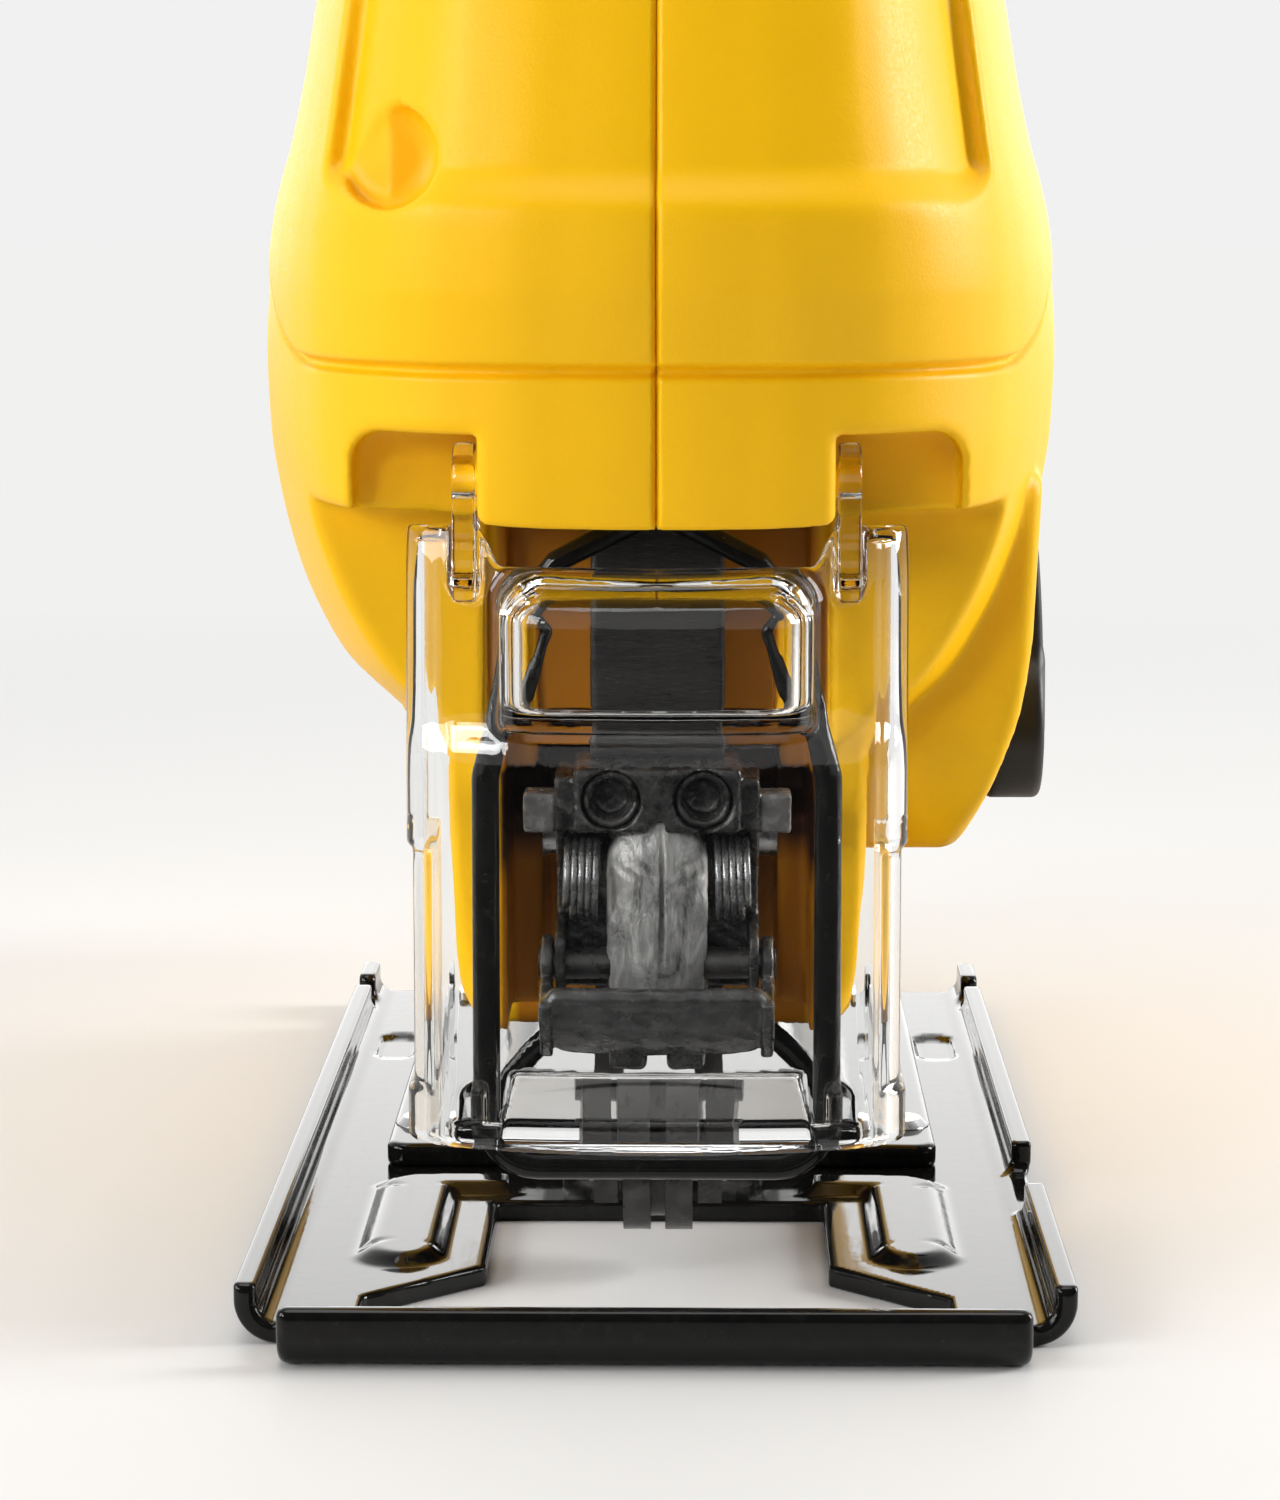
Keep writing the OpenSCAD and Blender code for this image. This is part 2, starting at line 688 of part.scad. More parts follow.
// ---- selector ----
module selector_lever() {
  color(black) difference() {
    union() {
      cyx(8, 32.6, 38.4, sel_y, sel_z);
      yz(36.4, 38.4) polygon([[sel_y - 7.6, sel_z + 2], [sel_y - 3.6, sel_z + 18.4],
                              [sel_y - 2.4, sel_z + 19.2], [sel_y + 2.4, sel_z + 19.2],
                              [sel_y + 3.6, sel_z + 18.4], [sel_y + 7.6, sel_z + 2]]);
    }
    cyx(2.6, 30, 37, sel_y, sel_z);
  }
}
module selector_shaft() {
  color(steel) difference() {
    union() {
      cyx(3.6, -6.5, 32.55, sel_y, sel_z);
      cyx(2.6, 32.5, 36.98, sel_y, sel_z);
    }
    bx(-7, 7, 20, 50, 44, sel_z - 2.9);
  }
}

// ---- gears ----
function inv_pt(rb, t) =
  let (a = t * PI / 180) [rb * (cos(t) + a * sin(t)), rb * (sin(t) - a * cos(t))];
function rot2(p, a) = [p[0] * cos(a) - p[1] * sin(a), p[0] * sin(a) + p[1] * cos(a)];
module gear2d(n, m, ra, rf, bl) {
  rp = m * n / 2;
  rb = rp * cos(20);
  inva = tan(20) * 180 / PI - 20;
  half = 90 / n - bl / rp * 180 / PI / 2 + inva;
  t0 = rf > rb ? sqrt(rf * rf / (rb * rb) - 1) * 180 / PI : 0;
  t1 = sqrt(ra * ra / (rb * rb) - 1) * 180 / PI;
  k = 3;
  polygon([for (i = [0 : n - 1]) each concat(
    rf < rb ? [rot2([rf, 0], i * 360 / n - half)] : [],
    [for (j = [0 : k]) rot2(inv_pt(rb, t0 + (t1 - t0) * j / k), i * 360 / n - half)],
    [for (j = [k : -1 : 0])
      let (q = inv_pt(rb, t0 + (t1 - t0) * j / k)) rot2([q[0], -q[1]], i * 360 / n + half)],
    rf < rb ? [rot2([rf, 0], i * 360 / n + half)] : [])]);
}
module spur_gear() {
  color(steel) difference() {
    union() {
      translate([0, 21.5, gear_z]) rotate([90, 0, 0]) linear_extrude(9) rotate(180 / gear_n - 90)
        gear2d(gear_n, gmod, gear_rp + 0.6 * gmod, gear_rp - 1.15 * gmod, 0.2);
      cyy(8, 11, 23, 0, gear_z);
      cyy(5.2, 11, 12.6, crank_x, yoke_z);
    }
    cyy(4.06, 5, 30, 0, gear_z);
    cyy(2.6, 5, 20, crank_x, yoke_z);
    // lightening holes
    for (a = [0 : 60 : 300]) translate([0, 25, gear_z]) rotate([90, 0, 0]) rotate(a)
      translate([17.2, 0]) cylinder(r = 3.6, h = 20);
  }
}
module crank_roller() {
  color(steel) {
    cyy(3.5, 8.6, 10.9, crank_x, yoke_z);
    cyy(2.6, 10.8, 20, crank_x, yoke_z);
  }
}
module gear_axle() { color(steel) cyy(4, 10.2, 31, 0, gear_z); }
module gear_plate_profile(g) {
  polygon([[-12 - g, 52.2 - g], [12 + g, 52.2 - g], [26 + g, 66], [26 + g, 112],
           [17 + g, 121 + g], [-17 - g, 121 + g], [-26 - g, 112], [-26 - g, 66]]);
}
module gear_plate() {
  color([0.6, 0.6, 0.62]) difference() {
    xz(24, 31) gear_plate_profile(0);
    cyy(11, 20, 40, 0, motor_z);
    cyy(4, 20, 40, 0, gear_z);
    mir() cyy(5, 20, 40, 16, 108);
  }
}
module bearing(ro, ri, y0, y1) {
  difference() {
    cyy(ro, y0, y1, 0, motor_z);
    cyy(ri + 0.04, y0 - 1, y1 + 1, 0, motor_z);
    // recess of the ring seals on both faces
    for (y = [y0 - e, y1 - 0.5]) difference() {
      cyy(ro - 1.4, y, y + 0.5 + e, 0, motor_z);
      cyy(ri + 1.3, y - 1, y + 2, 0, motor_z);
    }
  }
}
module front_bearing() { color([0.75, 0.75, 0.77]) bearing(11, 4, 24.4, 31); }
module rear_bearing() { color([0.75, 0.75, 0.77]) bearing(9.5, 3.5, 149.1, 155); }
module armature_shaft() {
  color(steel) {
    along_motor(22.4) linear_extrude(11) rotate(90)
      gear2d(pinion_n, gmod, pin_rp + 0.9 * gmod, pin_rp - 1.1 * gmod, 0.2);
    cyy(4, 22.4 - e, 142, 0, motor_z);
    cyy(3.5, 142 - e, 157, 0, motor_z);
  }
}
module armature_core() {
  color([0.35, 0.35, 0.37]) along_motor(stack_y) linear_extrude(stack_l) difference() {
    circle(r = 16.6);
    circle(r = 4);
    for (i = [0 : 9]) rotate(i * 36) {
      translate([9, -1.9]) square([5.6, 3.8]);
      translate([13, -0.8]) square([5, 1.6]);
    }
  }
}
module armature_winding() {
  color(copper) difference() {
    union() {
      for (i = [0 : 9]) along_motor(stack_y + 1) rotate(i * 36)
        translate([9.1, -1.8, 0]) cube([5.4, 3.6, stack_l + 2]);
      cyy(14.4, 115.02, 122, 0, motor_z);
      cyy(14.4, 71, 78.98, 0, motor_z);
    }
    cyy(4, 60, 130, 0, motor_z);
  }
}
module commutator() {
  color(copper) difference() {
    union() {
      cyy(10, 128, 141, 0, motor_z);
      cyy(11.4, 125.6, 128.1, 0, motor_z);
    }
    cyy(4, 120, 150, 0, motor_z);
    for (i = [0 : 9]) along_motor(142) rotate(i * 36 + 18) translate([9.2, -0.25, 0]) cube([3, 0.5, 20]);
  }
}
module cooling_fan() {
  color(black) difference() {
    union() {
      cyy(7, 50, 66, 0, motor_z);
      cyy(26, 50, 51.6, 0, motor_z);
      for (i = [0 : 8]) along_motor(60) rotate(i * 40) translate([6, -0.7, 0]) cube([19.5, 1.4, 9]);
    }
    cyy(4, 40, 70, 0, motor_z);
  }
}
module stator_core() {
  color([0.4, 0.4, 0.42]) along_motor(stack_y) linear_extrude(stack_l) difference() {
    circle(r = 27.3);
    circle(r = 17.1);
    for (a = [0, 180]) rotate(a) {
      sector(18.4, 23.6, 22, 58);
      sector(18.4, 23.6, 122, 158);
      sector(16, 18.5, -25, 25);
    }
  }
}
module field_coils() {
  color(copper) for (a = [0, 180]) {
    along_motor(stack_y) rotate(a) {
      linear_extrude(stack_l) sector(18.5, 23.5, 23, 57);
      linear_extrude(stack_l) sector(18.5, 23.5, 123, 157);
    }
    // end turns in front of and behind the stack
    for (y = [122, 79]) along_motor(y) rotate(a) linear_extrude(7) sector(18.5, 23.5, 23, 157);
  }
}
module brush_holders() {
  color([0.75, 0.6, 0.25]) mir() difference() {
    bx(12, 29.1, 129.6, 140.4, motor_z - 5.4, motor_z + 5.4);
    bx(11, 28, 131, 139, motor_z - 3.2, motor_z + 3.2);
  }
}
module carbon_brushes() {
  color([0.12, 0.12, 0.12]) mir() difference() {
    bx(9, 20, 131.05, 138.95, motor_z - 3.15, motor_z + 3.15);
    cyy(10.06, 125, 145, 0, motor_z);
  }
}
module brush_springs() { color(steel) mir() for (i = [0 : 5]) coil_x(20.7 + i * 1.3, 135, motor_z, 2.2, 0.35); }

// ---- switch group ----
module switch_body() {
  color(black) {
    bx(-8, 8, 58, 108, 160, 173);
    bx(-4, 4, 68, 72, 158.5, 160.1);
  }
}
module trigger() {
  color(black) difference() {
    yz(-7.8, 7.8) polygon([[57, 156.5], [57, 145], [58.4, 137], [62, 133.6], [70, 133.2],
                           [78, 137], [84, 143.4], [88.6, 149], [88.6, 154], [84, 157]]);
    yz(-5.8, 5.8) polygon([[60, 160], [60, 149], [79.5, 149], [79.5, 160]]);
    cyx(1.5, -10, 10, trig_y, trig_z);
  }
}
module trigger_pin() { color(steel) cyx(1.45, -16, 16, trig_y, trig_z); }
module trigger_spring() {
  color(steel) for (i = [0 : 5]) translate([0, 70, 149.4 + i * 1.7])
    rotate_extrude($fn = 20) translate([2.6, 0]) circle(r = 0.4, $fn = 8);
}
module lock_button() {
  color(black) {
    cyx(4.5, 12.9, 20.4, lock_y, lock_z);
    cyx(2.4, 11.2, 13, lock_y, lock_z);
  }
}
module speed_dial() {
  color(black) difference() {
    cyx(10.5, -2.8, 2.8, dial_y, dial_z);
    // grip notches
    for (i = [0 : 23]) translate([0, dial_y, dial_z]) rotate([i * 15, 0, 0])
      translate([-4, -0.5, 10]) cube([8, 1, 2]);
    cyx(2.05, -5, 5, dial_y, dial_z);
  }
}
module dial_pin() { color(steel) cyx(2, -15.2, 15.2, dial_y, dial_z); }

base_plate();
base_bracket();
bracket_rivets();
right_housing();
left_housing();
housing_screws();
bevel_screw();
bevel_washer();
bevel_nut();
wire_guard();
lower_bush();
upper_bush();
gear_plate();
gear_axle();
front_bearing();
rear_bearing();
stator_core();
field_coils();
brush_holders();
carbon_brushes();
brush_springs();
pendulum_pin();
guard_pins();
switch_body();
cord_gland();
armature_shaft();
armature_core();
armature_winding();
commutator();
cooling_fan();
spur_gear();
crank_roller();
plunger();
yoke();
clamp_body();
clamp_screws();
blade_holder();
clamp_pin();
clamp_springs();
clamp_lever();
clear_guard();
pendulum_arm();
roller_pin();
roller();
selector_lever();
selector_shaft();
trigger();
trigger_pin();
trigger_spring();
lock_button();
speed_dial();
dial_pin();
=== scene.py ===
import json
import math
import time

import bpy
import mathutils
import numpy as np
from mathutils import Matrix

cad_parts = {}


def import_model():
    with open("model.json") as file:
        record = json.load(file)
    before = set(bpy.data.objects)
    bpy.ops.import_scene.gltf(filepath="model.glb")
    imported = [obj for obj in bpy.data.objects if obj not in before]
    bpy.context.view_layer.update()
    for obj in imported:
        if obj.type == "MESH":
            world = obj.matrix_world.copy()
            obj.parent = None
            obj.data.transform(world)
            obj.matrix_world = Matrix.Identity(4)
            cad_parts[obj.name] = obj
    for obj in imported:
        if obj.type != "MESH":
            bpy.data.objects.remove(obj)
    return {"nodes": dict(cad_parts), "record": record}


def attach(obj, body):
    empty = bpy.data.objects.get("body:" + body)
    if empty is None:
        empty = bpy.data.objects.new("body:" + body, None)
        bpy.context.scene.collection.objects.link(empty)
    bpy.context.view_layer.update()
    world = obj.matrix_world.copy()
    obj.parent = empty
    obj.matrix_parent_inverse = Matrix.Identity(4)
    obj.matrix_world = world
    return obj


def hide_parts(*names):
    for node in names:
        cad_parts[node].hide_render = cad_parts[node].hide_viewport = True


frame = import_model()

t_start = time.time()
nodes = frame["nodes"]
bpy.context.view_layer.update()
MM = 0.001
# axes shared by several pieces, in millimetres
GUARD_HINGE = (-9, 77)  # Y and Z
CLAMP_PIN = (-3.5, 31.8)  # Y and Z
SELECTOR = (35, 49.5)  # Y and Z
MOTOR = (0, 64)  # X and Z
GRUB = (4.2, 47.6)  # X either side, and Z


# ---------------------------------------------------------------- curves and distance fields, in millimetres
class Curve:
    """A monotone cubic through (x, y) points, with its slope."""

    def __init__(self, pts, n=4000):
        x, y = np.array(pts, float).T
        h = np.diff(x)
        s = np.diff(y) / h
        m = np.zeros(len(x))
        w1, w2 = 2 * h[1:] + h[:-1], h[1:] + 2 * h[:-1]
        same = s[:-1] * s[1:] > 0
        safe = np.where(same, s[:-1] * s[1:], 1.0)
        m[1:-1] = np.where(same, (w1 + w2) * safe / np.where(same, w1 * s[1:] + w2 * s[:-1], 1.0), 0.0)
        m[0], m[-1] = s[0], s[-1]
        self.t = np.linspace(x[0], x[-1], n)
        i = np.clip(np.searchsorted(x, self.t) - 1, 0, len(h) - 1)
        u = (self.t - x[i]) / h[i]
        self.v = ((1 + 2 * u) * (1 - u) ** 2 * y[i] + u * (1 - u) ** 2 * h[i] * m[i] + u * u * (3 - 2 * u)
                  * y[i + 1] + u * u * (u - 1) * h[i] * m[i + 1])
        self.g = np.gradient(self.v, self.t)

    def __call__(self, a):
        return np.interp(a, self.t, self.v)

    def d(self, a):
        return np.interp(a, self.t, self.g)


def rmax(a, b, r):
    """Intersection with an edge of radius r."""
    if r <= 0:
        return np.maximum(a, b)
    return np.minimum(np.maximum(a, b), -r) + np.hypot(np.maximum(a + r, 0), np.maximum(b + r, 0))


def rmin(a, b, r):
    """Union with an inside corner of radius r."""
    return -rmax(-a, -b, r)


def cut(a, b, r=0.3):
    """a without b, with a broken edge."""
    return rmax(a, -b, r)


def poly(a, b, pts):
    """Signed distance to a closed polygon, negative inside."""
    best, odd = None, False
    for i in range(len(pts)):
        (ax, ay), (bx, by) = pts[i - 1], pts[i]
        ex, ey = bx - ax, by - ay
        t = np.clip(((a - ax) * ex + (b - ay) * ey) / (ex * ex + ey * ey), 0, 1)
        q = (a - ax - ex * t) ** 2 + (b - ay - ey * t) ** 2
        best = q if best is None else np.minimum(best, q)
        if ay != by:
            odd = odd ^ (((ay <= b) != (by <= b)) & (a < ex * (b - ay) / (by - ay) + ax))
    return np.where(odd, -1.0, 1.0) * np.sqrt(best)


def hull2(a, b, pts, r):
    """Convex polygon, counter-clockwise, with rounded corners."""
    out = None
    for i in range(len(pts)):
        (ax, ay), (bx, by) = pts[i - 1], pts[i]
        n = math.hypot(bx - ax, by - ay)
        h = ((a - ax) * (by - ay) - (b - ay) * (bx - ax)) / n
        out = h if out is None else rmax(out, h, r)
    return out


def slab(v, lo, hi):
    return np.maximum(lo - v, v - hi)


def box(x, y, z, x0, x1, y0, y1, z0, z1, r=0.0):
    qx = np.abs(x - (x0 + x1) / 2) - (x1 - x0) / 2 + r
    qy = np.abs(y - (y0 + y1) / 2) - (y1 - y0) / 2 + r
    qz = np.abs(z - (z0 + z1) / 2) - (z1 - z0) / 2 + r
    out = np.sqrt(np.maximum(qx, 0) ** 2 + np.maximum(qy, 0) ** 2 + np.maximum(qz, 0) ** 2)
    return out + np.minimum(np.maximum(np.maximum(qx, qy), qz), 0) - r


def rod(a, b, ca, cb, r):
    """Round bar of radius r along the third axis."""
    return np.hypot(a - ca, b - cb) - r


def ramp(t):
    t = np.clip(t, 0, 1)
    return t * t * (3 - 2 * t)


# ---------------------------------------------------------------- surface nets
def grid_axis(*spans):
    """Grid lines from (start, end, step) spans laid end to end."""
    out = [spans[0][0]]
    for a, b, s in spans:
        n = max(1, int(round((b - a) / s)))
        out += list(a + (b - a) * np.arange(1, n + 1) / n)
    return np.array(out)


def nets(fn, gx, gy, gz, passes=3):
    """Closed quad mesh of fn(x, y, z) = 0, its points moved onto the surface."""
    d = fn(gx[:, None, None], gy[None, :, None], gz[None, None, :]).astype(np.float32)
    d = np.where(d == 0, np.float32(1e-6), d)
    s = d < 0
    n = np.zeros(tuple(k - 1 for k in s.shape), np.int8)
    for i in (0, 1):
        for j in (0, 1):
            for k in (0, 1):
                n += s[i:s.shape[0] - 1 + i, j:s.shape[1] - 1 + j, k:s.shape[2] - 1 + k]
    act = (n > 0) & (n < 8)
    idx = np.full(act.shape, -1, np.int64)
    ci, cj, ck = np.nonzero(act)
    idx[ci, cj, ck] = np.arange(len(ci))
    acc, cnt = np.zeros((len(ci), 3)), np.zeros(len(ci))
    lines = (gx, gy, gz)
    for ax in range(3):
        for p in (0, 1):
            for q in (0, 1):
                o0 = [0, 0, 0]
                o0[(ax + 1) % 3], o0[(ax + 2) % 3] = p, q
                o1 = list(o0)
                o1[ax] = 1
                a = d[ci + o0[0], cj + o0[1], ck + o0[2]].astype(float)
                b = d[ci + o1[0], cj + o1[1], ck + o1[2]].astype(float)
                hit = (a < 0) != (b < 0)
                t = np.where(hit, a / np.where(hit, a - b, 1.0), 0.0)
                base = (ci, cj, ck)
                pt = [lines[m][base[m] + o0[m]] for m in range(3)]
                pt[ax] = pt[ax] + t * (lines[ax][base[ax] + 1] - lines[ax][base[ax]])
                for m in range(3):
                    acc[:, m] += np.where(hit, pt[m], 0.0)
                cnt += hit
    v = acc / cnt[:, None]
    quads = []
    for ax in range(3):
        b_, c_ = (ax + 1) % 3, (ax + 2) % 3
        sl0, sl1 = [slice(None)] * 3, [slice(None)] * 3
        sl0[ax], sl1[ax] = slice(0, -1), slice(1, None)
        s0, s1 = s[tuple(sl0)], s[tuple(sl1)]
        cr = s0 != s1
        inner = [slice(None)] * 3
        inner[b_], inner[c_] = slice(1, -1), slice(1, -1)
        mask = np.zeros_like(cr)
        mask[tuple(inner)] = cr[tuple(inner)]
        e = np.nonzero(mask)
        f = []
        for p, q in ((-1, -1), (0, -1), (0, 0), (-1, 0)):
            o = [e[0], e[1], e[2]]
            o[b_], o[c_] = o[b_] + p, o[c_] + q
            f.append(idx[o[0], o[1], o[2]])
        f = np.stack(f, 1)
        flip = ~s0[e]
        f[flip] = f[flip][:, ::-1]
        quads.append(f)
    f = np.concatenate(quads)
    cell = np.stack([np.diff(gx)[ci], np.diff(gy)[cj], np.diff(gz)[ck]], 1)
    home = v.copy()
    h = 0.04
    for _ in range(passes):
        x, y, z = v.T
        d0 = fn(x, y, z)
        g = np.stack([fn(x + h, y, z) - fn(x - h, y, z), fn(x, y + h, z) - fn(x, y - h, z),
                      fn(x, y, z + h) - fn(x, y, z - h)], 1) / (2 * h)
        g2 = np.maximum((g * g).sum(1), 0.05)
        step = -(d0 / g2)[:, None] * g
        v = v + np.clip(step, -0.5 * cell, 0.5 * cell)
        v = home + np.clip(v - home, -0.6 * cell, 0.6 * cell)
    return v, f


def add_mesh(name, v, f, smooth=True, angle=None):
    """A mesh object from points in millimetres."""
    me = bpy.data.meshes.new(name)
    me.vertices.add(len(v))
    me.vertices.foreach_set("co", (np.asarray(v, np.float64) * MM).ravel())
    if isinstance(f, np.ndarray):
        k = f.shape[1]
        me.loops.add(f.size)
        me.loops.foreach_set("vertex_index", f.ravel().astype(np.int32))
        me.polygons.add(len(f))
        me.polygons.foreach_set("loop_start", np.arange(0, f.size, k, dtype=np.int32))
    else:
        me.loops.add(sum(len(p) for p in f))
        me.loops.foreach_set("vertex_index", np.array([i for p in f for i in p], np.int32))
        me.polygons.add(len(f))
        me.polygons.foreach_set("loop_start", np.cumsum([0] + [len(p) for p in f[:-1]]).astype(np.int32))
    me.update(calc_edges=True)
    me.validate()
    me.polygons.foreach_set("use_smooth", [smooth] * len(me.polygons))
    if angle is not None:
        me.set_sharp_from_angle(angle=math.radians(angle))
    ob = bpy.data.objects.new(name, me)
    bpy.context.scene.collection.objects.link(ob)
    return ob


def field_piece(name, fn, gx, gy, gz, body, replaces, angle=None):
    v, f = nets(fn, gx, gy, gz)
    ob = add_mesh(name, v, f, angle=angle)
    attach(ob, body)
    if replaces:
        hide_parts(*replaces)
    print("piece", name, len(v), round(time.time() - t_start, 1))
    return ob


# ---------------------------------------------------------------- housing
NOSE = Curve([(40, 2), (46, -2), (52, -5), (60, -10), (68, -15), (73, -17.4), (80, -17.95), (86.4, -18.45),
              (87.4, -18.5), (88.4, -18.85), (91, -19.62), (93.8, -20.46), (94.15, -20.55), (94.5, -20.58),
              (94.8, -20.6), (98, -20.82), (101, -21), (104, -20.9), (108, -20.4), (112, -19.8), (122, -18.2),
              (131, -15.5), (143, -11), (152, -6.6), (160, -2), (167, 2.5), (172, 7), (178, 14), (184, 21),
              (190, 24)])
WIDE = Curve([(38, 20), (46, 21), (50, 22.4), (54, 26.9), (58, 31), (62, 33.3), (66, 35), (70, 36.2),
              (74.5, 37.2), (80, 38), (88, 38.3), (95, 38.1), (100, 37.5), (103.5, 36.7), (107, 35.7),
              (113, 34.4), (120, 33.2), (131, 31), (143, 28), (155, 24.6), (167, 21), (176, 19), (190, 17.5)])
KEEP = Curve([(-60, 1), (36, 1), (41, 0.975), (46, 0.92), (54, 0.8), (61, 0.68), (75, 0.45), (400, 0.4)], 12000)
FRONT_V = [(0, 1), (0.2, 0.998), (0.34, 0.986), (0.42, 0.968), (0.548, 0.922), (0.63, 0.872), (0.72, 0.795),
           (0.8, 0.7), (0.868, 0.57), (0.93, 0.4), (0.97, 0.25), (1, 0)]
AROUND = Curve([(math.atan2(u, v), math.hypot(u, v)) for u, v in FRONT_V])
BELLY_Y = 26.0


def gear_case(ax, y, z):
    w, wp, yf, yp = WIDE(z), WIDE.d(z), NOSE(z), NOSE.d(z)
    q = KEEP(y)
    ln = BELLY_Y - yf
    u = ax / (w * q)
    v = np.maximum(BELLY_Y - y, 0) / ln
    r = np.maximum(np.hypot(u, v), 1e-4)
    th = np.arctan2(u, v)
    ra, rp = AROUND(th), AROUND.d(th)
    rho = r / ra
    du = u / (r * ra) - rp / ra ** 2 * v / r
    dv = v / (r * ra) + rp / ra ** 2 * u / r
    fx = du / (w * q)
    fy = np.where(y < BELLY_Y, -dv / ln, -du * u * KEEP.d(y) / q)
    fz = -du * u * wp / w + dv * v * yp / ln
    return np.clip((rho - 1) / np.sqrt(fx * fx + fy * fy + fz * fz + 1e-8), -14, 40)


ROOF = Curve([(-60, 60), (-22, 118), (-12, 147), (-3, 161), (8, 171.5), (22, 179), (40, 183), (60, 184.8),
              (90, 185.3), (124, 183.6), (148, 178), (160, 169), (168, 156), (173, 138), (176, 120)])
GRIP = Curve([(40, 30), (61, 30.5), (72, 30.4), (82, 28.5), (92, 24.5), (100, 20.5), (108, 18.2), (122, 16.8),
              (136, 16.4), (148, 17), (160, 17.4), (170, 16.9), (178, 16), (190, 15)])


def softened(points, passes=2):
    """Closed outline with its corners cut to a smooth curve."""
    for _ in range(passes):
        nxt = points[1:] + points[:1]
        points = [p for a, b in zip(points, nxt)
                  for p in ((0.75 * a[0] + 0.25 * b[0], 0.75 * a[1] + 0.25 * b[1]),
                            (0.25 * a[0] + 0.75 * b[0], 0.25 * a[1] + 0.75 * b[1]))]
    return points


REAR_SIDE = softened([(20, 62), (140, 62), (166, 62), (173, 72), (175, 96), (173.6, 124), (171.4, 146),
                      (164, 166), (149, 179), (124, 184.2), (90, 186), (20, 186)])
HAND = softened([(49.5, 106), (53, 102.6), (70, 102.5), (120, 102), (136, 102), (142.6, 108), (146, 124),
                 (140.6, 136), (130, 144.4), (96, 146), (70, 144.4), (58, 143.4), (49.5, 142.6), (49.5, 134)])
SCREWS = [(-9, 106), (24, 132), (47, 146), (120, 165), (158, 152), (158, 108), (46, 27), (106, 28)]
GROOVE = Curve([(-40, 87.3), (-8, 87.3), (0, 87.45), (4, 88.3), (8, 89.6), (12, 91.4), (16, 93.4), (20, 95.6),
                (26, 98.5), (40, 104)])


def panel_depth(ax, z):
    """Recess of the raised front panels, 0 outside and full inside."""
    side = 30.9 - 0.115 * (z - 101.7) - 0.0022 * np.maximum(z - 101.7, 0) ** 1.5 - ax
    bottom = z - 101.2
    e = -rmax(-side, -bottom, 4.5)
    w = 2.6 + 1.6 * ramp((side - bottom + 3) / 7)
    return 2.0 * ramp(e / w)


def housing_outer(ax, y, z):
    d = rmax(gear_case(ax, y, z), 45.6 - z, 2.5)
    # recessed panel on the nose
    d = d + panel_depth(ax, z) * ramp((4 - y) / 6)
    # groove line round the nose, with the skin below it set in a little
    zg = GROOVE(y)
    fade = ramp((27 - y) / 6)
    off = z - zg
    line = 0.95 * np.exp(-np.abs(off / 0.52) ** 3)
    d = d + fade * (line + 0.35 * ramp(0.5 - off / 1.2) * ramp((off + 9) / 9))
    roof = (z - ROOF(y)) / np.sqrt(1 + ROOF.d(y) ** 2)
    hand = hull_hand(y, z)
    top = cut(rmax(d, roof, 9), hand, 5)
    top = rmax(top, y - 60, 0)
    # rear: handle, column and the body behind the gear case
    side = poly(y, z, REAR_SIDE)
    grip = (ax - GRIP(z)) / np.sqrt(1 + GRIP.d(z) ** 2)
    rear = rmax(grip, side, 8)
    rear = rmax(rear, 48 - y, 4)
    rear = cut(rear, hand, 6)
    d = rmin(top, rear, 5)
    barrel = rmax(rod(ax, z, *MOTOR, 31), slab(y, 43, 171), 5)
    d = rmin(d, barrel, 3)
    foot = box(ax, y, z, -23, 23, 40, 114, 16.6, 60, 2.2)
    foot = rmax(foot, (ax - FOOT(z)) / np.sqrt(1 + FOOT.d(z) ** 2), 1)
    d = rmin(d, foot, 3)
    cheek = (ax - CHEEK(z)) / np.sqrt(1 + CHEEK.d(z) ** 2)
    cheek = rmax(cheek, slab(y, 4.5, 46), 2.2)
    cheek = rmax(cheek, slab(z, 23.4, 66), 1.6)
    return rmin(d, cheek, 3)


FOOT = Curve([(10, 13), (16, 17.4), (18, 18.8), (20, 19.9), (24, 21.2), (30, 22.3), (40, 23), (70, 23)])
CHEEK = Curve([(10, 10), (18, 13), (22, 15.2), (23.6, 16.4), (26, 17.9), (30, 19.4), (36, 20.4), (42, 20.9),
               (70, 21.3)])


def hull_hand(y, z):
    return poly(y, z, HAND)


def pod(x, y, z):
    """Flat-sided pod round the pendulum lever, on the operator's left."""
    a = pod_skin(x, z)
    b = hull2(y, z, [(8, 46), (14, 38.8), (43, 38.8), (49, 46), (49, 64), (44, 77), (8, 77)], 3)
    return rmax(a, b, 1.6)


HANDLE_HOLLOW = [(-2, 124), (1, 146), (12, 164), (26, 174), (52, 178), (100, 179), (132, 175), (150, 166),
                 (162, 146), (166, 122), (166, 100), (150, 100), (150, 126), (140, 150), (48, 148), (46, 124)]


